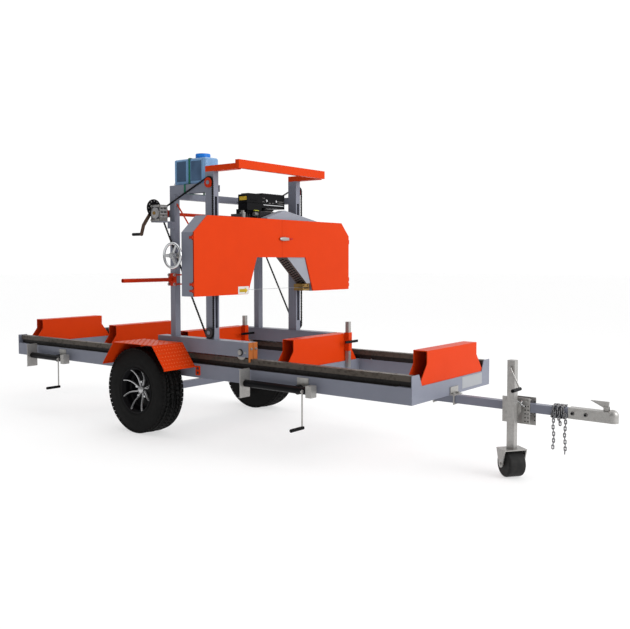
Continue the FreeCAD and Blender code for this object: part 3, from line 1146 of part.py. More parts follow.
def saw_head():
    """Build the head: back pan with its lift carriers, doors, wheels, band, drive and guards."""
    outline = pan_outline()
    rim_front = HEAD_FRONT - DOOR_DEPTH - RUN_GAP * 10
    pan = prism(outline, "x", HEAD_BACK, rim_front)
    pan = pan.cut(prism(grow(outline, -HEAD_SKIN), "x", HEAD_BACK + HEAD_SKIN, rim_front))
    band_x = (BAND_WHEEL_REAR + BAND_WHEEL_W / 2 - BAND_W / 2,
              BAND_WHEEL_REAR + BAND_WHEEL_W / 2 + BAND_W / 2)
    band_r = BAND_WHEEL_R + SEAT_GAP
    low = BAND_WHEEL_Z - band_r - BAND_T / 2
    for y in (sum(NOTCH_NEAR) / 2 - SPOKE_R * 6, NOTCH_FAR[0] - GUIDE_BAR):
        pan = pan.cut(box(band_x[0] - GUIDE_SLOT, band_x[1] + GUIDE_SLOT, y - JACK_PIN_R * 2,
                          y + JACK_PIN_R * 2,
                          low - GUIDE_SLOT, low + GUIDE_SLOT))
    pan = pan.cut(rod((HEAD_BACK, BAND_WHEEL_FAR, BAND_WHEEL_Z),
                      (HEAD_BACK + HEAD_SKIN, BAND_WHEEL_FAR, BAND_WHEEL_Z),
                      BAND_SHAFT_R + SEAT_GAP))
    pan = pan.cut(rod((HEAD_BACK, ENG_Y, ENG_Z), (HEAD_BACK + HEAD_SKIN, ENG_Y, ENG_Z),
                      BAND_SHAFT_R + SEAT_GAP))
    neck = (SLIDE_NEAR + SLIDE_NECK_IN, SLIDE_FAR - SLIDE_NECK_IN)
    slot = SLIDE_NECK_H / 2 + SEAT_GAP
    pan = pan.cut(box(HEAD_BACK, HEAD_BACK + HEAD_SKIN, neck[0] - SEAT_GAP,
                      neck[1] + SLIDE_TRAVEL + SEAT_GAP,
                      BAND_WHEEL_Z - slot, BAND_WHEEL_Z + slot))
    pulley_x = (PULLEY_REAR, PULLEY_REAR + PULLEY_W)
    pan = pan.cut(box(pulley_x[0] - SEAT_GAP * 8, pulley_x[1] + SEAT_GAP * 8, ENG_Y - DRIVER_R - BELT_T,
                      ENG_Y + DRIVEN_R + DRIVER_R,
                      HEAD_TOP - HEAD_SKIN, HEAD_TOP))
    fixed = []
    for side in SIDES:
        for rise in (CARRIER_LOW, CARRIER_HIGH):
            y, z1 = side * POST_Y, HEAD_BASE + rise
            x0, x1 = SLOT_POST_REAR + POST_WALL + CARRIER_GAP, SLOT_POST_FRONT - POST_WALL - CARRIER_GAP
            half = POST_WIDTH / 2 - POST_WALL - CARRIER_GAP
            block = box(x0, x1, y - half, y + half, z1 - CARRIER_HEIGHT / 2, z1 + CARRIER_HEIGHT / 2)
            neck = box(x1, HEAD_BACK, y - SLOT_WIDTH / 2 + CARRIER_GAP, y + SLOT_WIDTH / 2 - CARRIER_GAP,
                       z1 - CARRIER_HEIGHT / 3, z1 + CARRIER_HEIGHT / 3)
            fixed.append(fuse([block, neck]))
        lug_x = SPROCKET_X + SMALL_R + CHAIN_THICK / 2 + SEAT_GAP
        fixed.append(box(lug_x, HEAD_BACK, *sorted((side * (CHAIN_Y - CHAIN_WIDTH),
                                                    side * (CHAIN_Y + CHAIN_WIDTH))),
                         BAND_WHEEL_Z - DRIVEN_R * 1.5, BAND_WHEEL_Z - DRIVEN_R))
    near_fixed, near_moving = hinge_parts(HEAD_NEAR, -1)
    far_fixed, far_moving = hinge_parts(HEAD_FAR, 1)
    fixed += near_fixed + far_fixed
    rear = HEAD_BACK - BEARING_DEPTH
    housing = pipe((rear, BAND_WHEEL_FAR, BAND_WHEEL_Z), (HEAD_BACK, BAND_WHEEL_FAR, BAND_WHEEL_Z),
                   BEARING_R,
                   BEARING_R - BAND_SHAFT_R - RUN_GAP)
    fixed.append(housing)
    top, base = BAND_WHEEL_Z + SLIDE_H / 2 + SLIDE_GAP, BAND_WHEEL_Z - SLIDE_H / 2 - SLIDE_GAP
    for z0, z1 in ((top, top + GUIDE_BAR), (base - GUIDE_BAR, base)):
        fixed.append(box(SLIDE_REAR, HEAD_BACK, GUIDE_NEAR, SLIDE_FAR + SLIDE_TRAVEL, z0, z1))
    anchor = box(SLIDE_REAR, HEAD_BACK, ANCHOR_FAR - GUIDE_BAR, ANCHOR_FAR, BAND_WHEEL_Z - GUIDE_BAR * 2,
                 BAND_WHEEL_Z + GUIDE_BAR * 2)
    sleeve = rod((TENSION_X, ANCHOR_NEAR, BAND_WHEEL_Z), (TENSION_X, ANCHOR_FAR, BAND_WHEEL_Z),
                 TENSION_R * 2)
    bore = rod((TENSION_X, ANCHOR_NEAR, BAND_WHEEL_Z), (TENSION_X, ANCHOR_FAR, BAND_WHEEL_Z),
               TENSION_R + RUN_GAP)
    fixed.append(fuse([anchor, sleeve]).cut(bore))
    shelf = [box(ENG_SHELF_REAR, HEAD_BACK, ENG_SHELF_NEAR, ENG_SHELF_FAR, ENG_SHELF_Z - ENG_SHELF_T,
                 ENG_SHELF_Z)]
    for y in (ENG_SHELF_NEAR, ENG_SHELF_FAR - ENG_SHELF_T):
        rib = [(HEAD_BACK, ENG_SHELF_Z - ENG_SHELF_T), (ENG_SHELF_REAR, ENG_SHELF_Z - ENG_SHELF_T),
               (HEAD_BACK, ENG_SHELF_Z - FAN_R)]
        shelf.append(prism(rib, "y", y, y + ENG_SHELF_T))
    fixed.append(fuse(shelf))
    pieces = {"back_pan": pan, "head_fittings": group(fixed)}

    near = [(HEAD_NEAR, HEAD_BASE), (NOTCH_NEAR[0], HEAD_BASE), (NOTCH_NEAR[1], NOTCH_TOP),
            (SEAM_Y - SEAM_GAP / 2, NOTCH_TOP), (SEAM_Y - SEAM_GAP / 2, HEAD_TOP),
            (NEAR_CORNER[0], HEAD_TOP),
            (HEAD_NEAR, NEAR_CORNER[1])]
    far = [(SEAM_Y + SEAM_GAP / 2, NOTCH_TOP), (NOTCH_FAR[1], NOTCH_TOP), (NOTCH_FAR[0], HEAD_BASE),
           (HEAD_FAR, HEAD_BASE), (HEAD_FAR, FAR_CORNER[1]), (FAR_CORNER[0], HEAD_TOP),
           (SEAM_Y + SEAM_GAP / 2, HEAD_TOP)]
    doors = {}
    for name, points, knuckles in (("door_near", near, near_moving), ("door_far", far, far_moving)):
        door = prism(points, "x", HEAD_FRONT - DOOR_DEPTH, HEAD_FRONT)
        door = door.cut(prism(grow(points, -DOOR_SKIN), "x", HEAD_FRONT - DOOR_DEPTH,
                              HEAD_FRONT - DOOR_SKIN))
        doors[name] = [door] + knuckles
    keeper = box(HEAD_FRONT, HEAD_FRONT + DLATCH_THICK, SEAM_Y - DLATCH_HEIGHT, SEAM_Y - SEAM_GAP,
                 DLATCH_Z - DLATCH_HEIGHT / 2, DLATCH_Z + DLATCH_HEIGHT / 2)
    pivot_y = LATCH_Y + DLATCH_LENGTH - DLATCH_HEIGHT / 2
    stud = rod((HEAD_FRONT, pivot_y, DLATCH_Z), (HEAD_FRONT + DLATCH_THICK * 2, pivot_y, DLATCH_Z),
               LATCH_PIN_R)
    pieces["door_near"] = fuse(doors["door_near"] + [keeper])
    pieces["door_far"] = fuse(doors["door_far"] + [stud])
    plate = HEAD_FRONT + SEAT_GAP
    latch = fuse([box(plate, plate + DLATCH_THICK, LATCH_Y, pivot_y, DLATCH_Z - DLATCH_HEIGHT / 3,
                      DLATCH_Z + DLATCH_HEIGHT / 3),
                  rod((plate, pivot_y, DLATCH_Z), (plate + DLATCH_THICK, pivot_y, DLATCH_Z),
                      DLATCH_HEIGHT / 2),
                  rod((plate + DLATCH_THICK / 2, LATCH_Y + DLATCH_THICK, DLATCH_Z),
                      (plate + DLATCH_THICK * 3, LATCH_Y + DLATCH_THICK, DLATCH_Z), DLATCH_THICK)])
    pieces["door_latch"] = latch.cut(rod((HEAD_FRONT, pivot_y, DLATCH_Z),
                                         (HEAD_FRONT + DLATCH_THICK * 3, pivot_y, DLATCH_Z),
                                         LATCH_PIN_R + RUN_GAP))
    pieces.update(band_parts(band_x, band_r, pulley_x))
    pieces.update(guards_and_guides(band_x, low, rim_front))
    return pieces


def band_wheel(y, bore):
    """Give one spoked band wheel."""
    x0, x1 = BAND_WHEEL_REAR, BAND_WHEEL_REAR + BAND_WHEEL_W
    middle = (x0 + x1) / 2
    rim = pipe((x0, y, BAND_WHEEL_Z), (x1, y, BAND_WHEEL_Z), BAND_WHEEL_R, BAND_RIM)
    web = rod((middle - BAND_WEB / 2, y, BAND_WHEEL_Z), (middle + BAND_WEB / 2, y, BAND_WHEEL_Z),
              BAND_WHEEL_R - BAND_RIM / 2)
    hub = rod((x0, y, BAND_WHEEL_Z), (x1, y, BAND_WHEEL_Z), BAND_HUB_R)
    wheel = fuse([rim, web, hub])
    ring = (BAND_WHEEL_R - BAND_RIM + BAND_HUB_R) / 2
    for index in range(BAND_HOLES):
        angle = math.radians(index * 360 / BAND_HOLES)
        hy, hz = y + ring * math.cos(angle), BAND_WHEEL_Z + ring * math.sin(angle)
        wheel = wheel.cut(rod((middle - BAND_WEB, hy, hz), (middle + BAND_WEB, hy, hz), BAND_HOLE_R))
    if bore:
        wheel = wheel.cut(rod((x0, y, BAND_WHEEL_Z), (x1, y, BAND_WHEEL_Z), bore))
    return wheel


def pulley(y, z, radius, x0, x1):
    """Give a grooved belt pulley."""
    middle = (x0 + x1) / 2
    half = (x1 - x0) / 2
    groove = BELT_T * 0.8 + SEAT_GAP
    rows = [(0.0, -half), (radius, -half), (radius, -BELT_W / 2 - SEAT_GAP),
            (radius - groove, -BELT_W / 2 - SEAT_GAP),
            (radius - groove, BELT_W / 2 + SEAT_GAP), (radius, BELT_W / 2 + SEAT_GAP), (radius, half),
            (0.0, half)]
    points = [V(middle + b, y, z + a) for a, b in rows]
    return Part.Face(Part.makePolygon(points + points[:1])).revolve(V(middle, y, z), X_AXIS, 360)


def band_parts(band_x, band_r, pulley_x):
    """Build the band wheels, band, belt drive, tension slide and handwheel."""
    pieces = {"band_wheel_near": band_wheel(BAND_WHEEL_NEAR, AXLE_PIN_R + RUN_GAP)}
    far = [band_wheel(BAND_WHEEL_FAR, 0), pulley(BAND_WHEEL_FAR, BAND_WHEEL_Z, DRIVEN_R, *pulley_x),
           rod((HEAD_BACK - BEARING_DEPTH - SPOKE_R, BAND_WHEEL_FAR, BAND_WHEEL_Z),
               (BAND_WHEEL_REAR, BAND_WHEEL_FAR, BAND_WHEEL_Z), BAND_SHAFT_R)]
    pieces["band_wheel_far"] = fuse(far)
    circles = [(BAND_WHEEL_FAR, BAND_WHEEL_Z, band_r), (BAND_WHEEL_NEAR, BAND_WHEEL_Z, band_r)]
    pieces["saw_band"] = belt(circles, 0, BAND_T, "x", *band_x)
    groove = BELT_T * 0.8
    loop = [(BAND_WHEEL_FAR, BAND_WHEEL_Z, DRIVEN_R), (ENG_Y, ENG_Z, DRIVER_R)]
    middle = sum(pulley_x) / 2
    pieces["drive_belt"] = belt(loop, -groove, BELT_T - groove, "x", middle - BELT_W / 2,
                                middle + BELT_W / 2)
    shaft = rod((ENG_FRONT + SEAT_GAP, ENG_Y, ENG_Z), (pulley_x[0], ENG_Y, ENG_Z), ENG_SHAFT_R)
    pieces["engine_pulley"] = fuse([pulley(ENG_Y, ENG_Z, DRIVER_R, *pulley_x), shaft])
    block = box(SLIDE_REAR, SLIDE_FRONT, SLIDE_NEAR, SLIDE_FAR, BAND_WHEEL_Z - SLIDE_H / 2,
                BAND_WHEEL_Z + SLIDE_H / 2)
    block = block.cut(rod((TENSION_X, SLIDE_NEAR, BAND_WHEEL_Z),
                          (TENSION_X, SLIDE_FAR - SLIDE_NECK_IN, BAND_WHEEL_Z),
                          TENSION_R + RUN_GAP))
    arm_x = HEAD_BACK + HEAD_SKIN + SEAT_GAP
    neck = box(SLIDE_FRONT, arm_x, SLIDE_NEAR + SLIDE_NECK_IN, SLIDE_FAR - SLIDE_NECK_IN,
               BAND_WHEEL_Z - SLIDE_NECK_H / 2, BAND_WHEEL_Z + SLIDE_NECK_H / 2)
    arm = box(arm_x, arm_x + SLIDE_ARM_T, SLIDE_NEAR + SLIDE_NECK_IN / 2,
              BAND_WHEEL_NEAR + AXLE_PIN_R * 1.6,
              BAND_WHEEL_Z - SLIDE_ARM_H / 2, BAND_WHEEL_Z + SLIDE_ARM_H / 2)
    front = BAND_WHEEL_REAR + BAND_WHEEL_W
    pin = rod((arm_x + SLIDE_ARM_T, BAND_WHEEL_NEAR, BAND_WHEEL_Z), (front, BAND_WHEEL_NEAR, BAND_WHEEL_Z),
              AXLE_PIN_R)
    head = rod((front + SEAT_GAP, BAND_WHEEL_NEAR, BAND_WHEEL_Z),
               (front + NUT_H, BAND_WHEEL_NEAR, BAND_WHEEL_Z), AXLE_PIN_R * 2)
    collar = rod((front, BAND_WHEEL_NEAR, BAND_WHEEL_Z), (front + SEAT_GAP, BAND_WHEEL_NEAR, BAND_WHEEL_Z),
                 AXLE_PIN_R)
    pieces["tension_slide"] = fuse([block, neck, arm, pin, collar, head])
    centre = V(TENSION_X, HANDWHEEL_Y, BAND_WHEEL_Z)
    wheel = [Part.makeTorus(HANDWHEEL_R, HANDWHEEL_RIM, centre, Y_AXIS),
             rod((TENSION_X, HANDWHEEL_Y - HANDWHEEL_HUB_L / 2, BAND_WHEEL_Z),
                 (TENSION_X, HANDWHEEL_Y + HANDWHEEL_HUB_L / 2, BAND_WHEEL_Z), HANDWHEEL_HUB_R),
             rod((TENSION_X, HANDWHEEL_Y, BAND_WHEEL_Z),
                 (TENSION_X, SLIDE_NEAR + JACK_PIN_R, BAND_WHEEL_Z), TENSION_R)]
    for index in range(HANDWHEEL_SPOKES):
        spoke = rod((TENSION_X, HANDWHEEL_Y, BAND_WHEEL_Z),
                    (TENSION_X - HANDWHEEL_R, HANDWHEEL_Y, BAND_WHEEL_Z), SPOKE_R)
        spoke.rotate(centre, Y_AXIS, index * 360 / HANDWHEEL_SPOKES)
        wheel.append(spoke)
    pieces["handwheel"] = fuse(wheel)
    return pieces


def guards_and_guides(band_x, low, rim_front):
    """Build the band guides, the belt guard and the hood."""
    guides = []
    for y0, y1 in GUIDE_YS:
        guide = box(*GUIDE_X, y0, y1, *GUIDE_Z)
        guide = guide.cut(box(band_x[0] - SEAT_GAP, GUIDE_X[1], y0, y1, low - GUIDE_SLOT / 2,
                              low + GUIDE_SLOT / 2))
        arm = box(HEAD_BACK + HEAD_SKIN, GUIDE_X[0], y0 + GUIDE_BAR, y1 - GUIDE_BAR,
                  GUIDE_Z[0] + GUIDE_BAR, GUIDE_Z[1])
        if y0 > 0:
            arm = box(HEAD_BACK + HEAD_SKIN, GUIDE_X[0], y0 + GUIDE_BAR, y1 - GUIDE_BAR,
                      GUIDE_Z[1] - GUIDE_BAR, GUIDE_Z[1])
        step = box(HEAD_BACK, HEAD_FRONT, GUARD_LOW_Y - GUIDE_BAR * 4, GUARD_LOW_Y + HOOD_SKIN,
                   GUIDE_Z[1] - HOOD_SKIN * 2, GUIDE_Z[1])
        guides.append(fuse([guide, arm]).cut(step))
    (ay, az), (by, bz) = GUARD_SLANT
    span = math.hypot(by - ay, bz - az)
    ny, nz = (bz - az) / span, (ay - by) / span
    skin = HOOD_SKIN
    slant = [(ay, az), (ay + ny * skin, az + nz * skin), (by + ny * skin, bz + nz * skin), (by, bz)]
    strip = prism(slant, "x", HEAD_BACK, rim_front + skin)
    share = (NOTCH_TOP - bz - SEAT_GAP) / (NOTCH_TOP - HEAD_BASE)
    edge = NOTCH_FAR[1] + (NOTCH_FAR[0] - NOTCH_FAR[1]) * share
    face = [(ay, az), (by, bz), (edge - SEAM_GAP, bz), (NOTCH_FAR[1] - SEAM_GAP, az)]
    front = prism(face, "x", rim_front, rim_front + skin)
    guard = [fuse([strip, front])]
    top = HEAD_TOP
    arch = [(HOOD[0][0], top)] + list(HOOD) + [(HOOD[-1][0], top)]
    hood = prism(arch, "x", HEAD_BACK, HOOD_FRONT)
    hood = hood.cut(prism([(HOOD[0][0] + skin, top)] + [(HOOD[0][0] + skin, HOOD[0][1] - skin),
                                                        (HOOD[1][0], HOOD[1][1] - skin),
                                                        (HOOD[2][0] - skin, HOOD[2][1] - skin)]
                          + [(HOOD[-1][0] - skin, top)], "x", HEAD_BACK + skin, HOOD_FRONT - skin))
    guard.append(hood)
    return {"band_guides": group(guides), "belt_guard": group(guard)}


def engine():
    """Build the engine block with its finned cylinder, and its covers."""
    case = box(ENG_CASE_REAR + FAN_DEPTH, ENG_FRONT, ENG_CASE_NEAR, ENG_CASE_FAR, ENG_SHELF_Z, ENG_CASE_TOP)
    case = case.makeFillet(ENG_SHELF_T * 2,
                           [e for e in case.Edges if abs(e.tangentAt(e.FirstParameter).x) > 0.9])
    case = case.cut(rod((ENG_FRONT - FAN_DEPTH, ENG_Y, ENG_Z), (ENG_FRONT, ENG_Y, ENG_Z),
                        ENG_SHAFT_R + RUN_GAP))
    barrel = box(ENG_HEAD_REAR + ENG_FIN * 2, ENG_HEAD_FRONT - ENG_FIN * 2, ENG_HEAD_NEAR + ENG_FIN,
                 ENG_HEAD_FAR,
                 ENG_HEAD_BASE + ENG_FIN * 2, ENG_HEAD_TOP - ENG_FIN * 2)
    shapes = [case, barrel]
    step = (ENG_HEAD_FAR - ENG_HEAD_NEAR) / ENG_FINS
    for index in range(ENG_FINS):
        y = ENG_HEAD_NEAR + step * index
        shapes.append(box(ENG_HEAD_REAR, ENG_HEAD_FRONT, y, y + ENG_FIN, ENG_HEAD_BASE, ENG_HEAD_TOP))
    box_x0, box_x1, box_y0, box_y1, box_z0, box_z1 = AIR_BOX
    air = box(box_x0, box_x1, box_y0, box_y1, box_z0, box_z1)
    air = air.makeFillet(ENG_SHELF_T, [e for e in air.Edges if abs(e.tangentAt(e.FirstParameter).x) > 0.9])
    intake = box(box_x0 + ENG_FIN * 4, box_x1 - ENG_FIN * 4, box_y0 + step, ENG_CASE_NEAR - SEAT_GAP,
                 ENG_HEAD_TOP + SEAT_GAP, box_z0)
    heat = box(*MUFFLER)
    pipe_out = rod((MUFFLER[0] + FAN_DEPTH / 2, ENG_Y, ENG_CASE_TOP),
                   (MUFFLER[0] + FAN_DEPTH / 2, ENG_Y, MUFFLER[4]), ENG_SHAFT_R)
    fuel = box(*FUEL)
    fuel = fuel.makeFillet(ENG_SHELF_T * 2, fuel.Edges)
    strut = box(FUEL[0] + ENG_SHELF_T, FUEL[1] - ENG_SHELF_T, ENG_CASE_NEAR + step,
                ENG_CASE_FAR - step * 3, ENG_CASE_TOP - FAN_DEPTH,
                FUEL[4] + ENG_SHELF_T)
    fan = rod((ENG_CASE_REAR, ENG_Y, ENG_SHELF_Z + FAN_R),
              (ENG_CASE_REAR + FAN_DEPTH, ENG_Y, ENG_SHELF_Z + FAN_R), FAN_R)
    return {"engine_block": fuse(shapes), "engine_covers": group([air.fuse(intake), heat.fuse(pipe_out),
                                                                  fuse([fuel, strut, fan])])}


def build():
    """Give every node of the sawmill by name."""
    pieces = trailer_frame()
    bunks = pieces.pop("log_bunks")
    pieces.update(log_stops(bunks))
    pieces.update(road_wheels())
    pieces.update(tongue_parts())
    clamps = pieces.pop("clamps")
    pieces.update(front_jack(clamps))
    pieces.update(side_jacks(clamps))
    pieces["bolt_brackets"] = group(clamps)
    for maker in (carriage, water_tank, push_handle, lift_drive, saw_head, engine):
        pieces.update(maker())
    return pieces


def main():
    """Move the sawmill into the shared frame and write one STEP file for each node."""
    os.makedirs("parts", exist_ok=True)
    pieces = build()
    bounds = FreeCAD.BoundBox()
    for shape in pieces.values():
        bounds.add(shape.optimalBoundingBox(False, False))
    move = V(-bounds.Center.x, -bounds.Center.y, -bounds.ZMin)
    for name, shape in pieces.items():
        if isinstance(shape, Part.Compound) and len(shape.Solids) == 1:
            shape = shape.Solids[0]
        shape.translate(move)
        shape.exportStep("parts/%s.step" % name)
    print(len(pieces), "nodes; moved by", move, "size", bounds.XLength, bounds.YLength, bounds.ZLength)


main()
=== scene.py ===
"""Looks of the portable band sawmill: finishes, small hardware, scene and camera.

Lengths are in millimetres in the builder's drawing frame (X zero at the hitch end of the trailer
frame, Y zero on its middle plane, Z up from the ground), and the function at() turns them into the
shared frame. Lengths that are in metres are described as such.
"""
import logging
import math
from dataclasses import dataclass
from enum import Enum
from typing import Callable, Iterable, Optional, Sequence, Union

import bmesh
import bpy
from mathutils import Matrix, Vector


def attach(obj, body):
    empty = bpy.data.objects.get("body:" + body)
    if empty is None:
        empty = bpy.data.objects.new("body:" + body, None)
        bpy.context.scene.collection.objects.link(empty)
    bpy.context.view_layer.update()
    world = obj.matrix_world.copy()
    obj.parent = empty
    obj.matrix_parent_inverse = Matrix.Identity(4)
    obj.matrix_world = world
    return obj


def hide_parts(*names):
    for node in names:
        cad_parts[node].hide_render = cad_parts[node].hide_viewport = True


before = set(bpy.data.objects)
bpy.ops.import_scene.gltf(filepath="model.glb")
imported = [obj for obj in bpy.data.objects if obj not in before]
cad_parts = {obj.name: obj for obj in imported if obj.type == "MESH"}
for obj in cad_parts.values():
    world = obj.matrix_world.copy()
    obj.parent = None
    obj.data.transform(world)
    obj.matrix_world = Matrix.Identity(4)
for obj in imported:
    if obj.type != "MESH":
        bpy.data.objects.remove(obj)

LOG = logging.getLogger("sawmill")
MM = 1000.0
SHIFT = Vector((1.530, -0.01775, 0.0))
SIDES = (-1, 1)
Point = tuple[float, float, float]
Color = tuple[float, float, float]
Span = tuple[float, float]
PURE_WHITE = (1.0, 1.0, 1.0, 1.0)
BUMP_DEPTH, COAT_ROUGH = 0.002, 0.15


def at(x: float, y: float, z: float) -> Vector:
    """Turn a drawing point in millimetres into the shared frame, in metres."""
    return Vector((x, y, z)) / MM + SHIFT


# Shader building


class Wave(Enum):
    """How a finish varies over the surface."""

    PAINT = "paint"
    STEEL = "steel"
    ZINC = "zinc"
    RUST = "rust"
    RUBBER = "rubber"
    CAST = "cast"
    PLASTIC = "plastic"
    TANK = "tank"


@dataclass(frozen=True)
class Finish:
    """One surface finish.

    Attributes:
        name: material name.
        color: main colour, linear.
        dark: colour of the worn or dirty parts.
        rough: mean roughness.
        spread: how far the roughness swings.
        metal: metallic share.
        coat: clear coat weight.
        wave: the kind of variation.
        scale: cycles of the main noise per metre.
        bump: bump strength.
        mix: how much of the dark colour shows at most.
        gloss: strength of the plain surface reflection.
    """

    name: str
    color: Color
    dark: Color
    rough: float = 0.4
    spread: float = 0.12
    metal: float = 0.0
    coat: float = 0.0
    wave: Wave = Wave.PAINT
    scale: float = 9.0
    bump: float = 0.05
    mix: float = 0.25
    gloss: float = 0.2


class Sock:
    """A shader value that can be used in sums, so that a pattern reads as a formula."""

    def __init__(self, graph: "Graph", socket: bpy.types.NodeSocket) -> None:
        self.graph = graph
        self.socket = socket

    def _math(self, operation: str, first: "Value", second: "Value", clamp: bool = False) -> "Sock":
        """Give the result of one operation on two values."""
        return self.graph.add("Math", {"operation": operation, "use_clamp": clamp}, {0: first, 1: second})

    def __add__(self, other: "Value") -> "Sock":
        return self._math("ADD", self, other)

    def __radd__(self, other: "Value") -> "Sock":
        return self._math("ADD", other, self)

    def __sub__(self, other: "Value") -> "Sock":
        return self._math("SUBTRACT", self, other)

    def __rsub__(self, other: "Value") -> "Sock":
        return self._math("SUBTRACT", other, self)

    def __mul__(self, other: "Value") -> "Sock":
        return self._math("MULTIPLY", self, other)

    def __rmul__(self, other: "Value") -> "Sock":
        return self._math("MULTIPLY", other, self)

    def above(self, edge: float, soft: float) -> "Sock":
        """Give a step from 0 to 1 that starts at edge and takes soft to climb."""
        return self._math("DIVIDE", self - edge, soft, clamp=True)

    def pinned(self) -> "Sock":
        """Keep the value between 0 and 1."""
        return self._math("ADD", self, 0.0, clamp=True)


Value = Union[Sock, float]


class Graph:
    """A node tree that grows one node at a time."""

    def __init__(self, tree: bpy.types.NodeTree) -> None:
        self.tree = tree

    def add(self, kind: str, settings: dict[str, object], sockets: dict[object, object],
            output: int | str = 0) -> Sock:
        """Add a shader node and give one of its outputs.

        Args:
            kind: type of the node.
            settings: its properties, which are set first.
            sockets: a value or a link for each of its inputs, by name or number.
            output: the output that is wanted, by name or number.

        Returns:
            That output as a value.
        """
        node = self.tree.nodes.new("ShaderNode" + kind)
        for name, value in settings.items():
            setattr(node, name, value)
        self.fill(node, sockets)
        return Sock(self, node.outputs[output])

    def fill(self, node: bpy.types.Node, sockets: dict[object, object]) -> None:
        """Set or link the inputs of a node."""
        for name, value in sockets.items():
            if isinstance(value, Sock):
                self.tree.links.new(value.socket, node.inputs[name])
            else:
                node.inputs[name].default_value = value


class Shader:
    """Builds one procedural material."""

    def __init__(self, finish: Finish) -> None:
        self.finish = finish
        self.material = bpy.data.materials.new(finish.name)
        self.material.use_nodes = True
        self.graph = Graph(self.material.node_tree)
        self.coords = self.graph.add("TexCoord", {}, {}, "Object")

    def noise(self, scale: float, detail: float = 4.0, stretch: Optional[Point] = None) -> Sock:
        """Give a noise value, stretched along an axis if asked."""
        source = self.coords
        if stretch:
            source = self.graph.add("Mapping", {}, {"Vector": source, "Scale": stretch})
        return self.graph.add("TexNoise", {}, {"Vector": source, "Scale": scale, "Detail": detail})

    def cells(self, scale: float) -> Sock:
        """Give a value that is constant over each cell."""
        color = self.graph.add("TexVoronoi", {}, {"Vector": self.coords, "Scale": scale}, "Color")
        return self.graph.add("SeparateColor", {}, {0: color})

    def height(self) -> Sock:
        """Give the Z coordinate in metres."""
        return self.graph.add("SeparateXYZ", {}, {0: self.coords}, "Z")

    def finish_up(self, amount: Sock, rough: Sock, relief: Sock) -> bpy.types.Material:
        """Join the colour mix, roughness and bump to the surface.

        Args:
            amount: share of the dark colour.
            rough: swing of the roughness, around 0.5.
            relief: height that drives the bump.

        Returns:
            The finished material.
        """
        f = self.finish
        mix = self.graph.add("Mix", {"data_type": "RGBA"},
                             {0: amount.pinned(), 6: (*f.color, 1.0), 7: (*f.dark, 1.0)}, 2)
        bump = self.graph.add("Bump", {}, {"Strength": f.bump, "Distance": BUMP_DEPTH, "Height": relief})
        wanted = (rough - 0.5) * (2.0 * f.spread) + f.rough
        self.graph.fill(self.material.node_tree.nodes["Principled BSDF"], {
            "Base Color": mix, "Roughness": wanted.pinned(), "Normal": bump, "Metallic": f.metal,
            "Coat Weight": f.coat, "Coat Roughness": COAT_ROUGH, "Specular IOR Level": f.gloss})
        return self.material

    def build(self) -> bpy.types.Material:
        """Give the material for the finish's kind of variation.

        The scales, edges and shares of each pattern were set against the photograph.
        """
        f = self.finish
        broad = self.noise(f.scale)
        fine = self.noise(f.scale * 22.0, 3.0)
        if f.wave is Wave.PAINT:
            scuffs = self.noise(f.scale * 6.0, 8.0, (1.0, 1.0, 3.5)).above(0.62, 0.12)
            # Paint gets darker towards the bottom, below a height of 0.62 m.
            darkening = (0.62 - self.height()).above(0.0, 0.9)
            amount = (broad.above(0.35, 0.6) * 0.6 + scuffs * 0.5 + darkening * 0.25) * f.mix
            return self.finish_up(amount, broad * 0.6 + scuffs * 0.5, self.noise(420.0, 2.0))
        if f.wave is Wave.STEEL:
            lines = self.noise(30.0, 3.0, (1.0, 40.0, 40.0))
            return self.finish_up((broad.above(0.4, 0.5) * 0.5 + lines * 0.5) * f.mix, lines, lines)
        if f.wave is Wave.ZINC:
            spangle = self.cells(160.0)
            return self.finish_up((spangle * 0.55 + broad * 0.6) * f.mix, spangle * 0.5 + broad * 0.5, fine)
        if f.wave is Wave.RUST:
            spots = self.noise(f.scale * 5.0, 10.0).above(0.5, 0.16)
            streaks = self.noise(9.0, 6.0, (0.6, 8.0, 8.0)).above(0.42, 0.4)
            return self.finish_up((spots * 0.7 + streaks * 0.5) * f.mix, spots, spots * 0.4 + fine)
        if f.wave is Wave.RUBBER:
            darkening = self.noise(f.scale * 3.0, 6.0).above(0.42, 0.4)
            return self.finish_up(darkening * f.mix, broad, fine)
        if f.wave is Wave.CAST:
            pits = broad.above(0.4, 0.4) * 0.6 + fine.above(0.45, 0.3) * 0.5
            return self.finish_up(pits * f.mix, fine, self.noise(260.0, 4.0))
        if f.wave is Wave.TANK:
            inner = self.noise(7.0, 1.0, (1.0, 1.0, 0.7)).above(0.44, 0.12)
            return self.finish_up(inner * f.mix, broad, broad)
        return self.finish_up(broad.above(0.4, 0.5) * f.mix, broad, fine)


ORANGE = Finish("paint_orange", (0.6, 0.042, 0.004), (0.4, 0.026, 0.004), 0.4, 0.12, mix=0.25, gloss=0.05)
DEEP_ORANGE = Finish("paint_red_orange", (0.5, 0.03, 0.006), (0.26, 0.018, 0.006), 0.42, 0.12, mix=0.3,
                     gloss=0.06)
GREY = Finish("paint_blue_grey", (0.2, 0.212, 0.262), (0.1, 0.105, 0.13), 0.46, 0.12, coat=0.05, mix=0.3)
PALE_GREY = Finish("paint_pale_grey", (0.27, 0.285, 0.33), (0.17, 0.175, 0.2), 0.45, 0.12, coat=0.05,
                   mix=0.3)
RAIL = Finish("bare_rail", (0.088, 0.074, 0.062), (0.034, 0.028, 0.022), 0.55, 0.14, 0.35, wave=Wave.RUST,
              bump=0.15, mix=0.55)
# Lighter, shinier orange that paints the highlights on the fenders' raised lozenges.
HIGHLIGHT_ORANGE = Finish("painted_highlight_orange", (0.7, 0.12, 0.035), (0.5, 0.06, 0.014), 0.3, 0.05, 0.25)
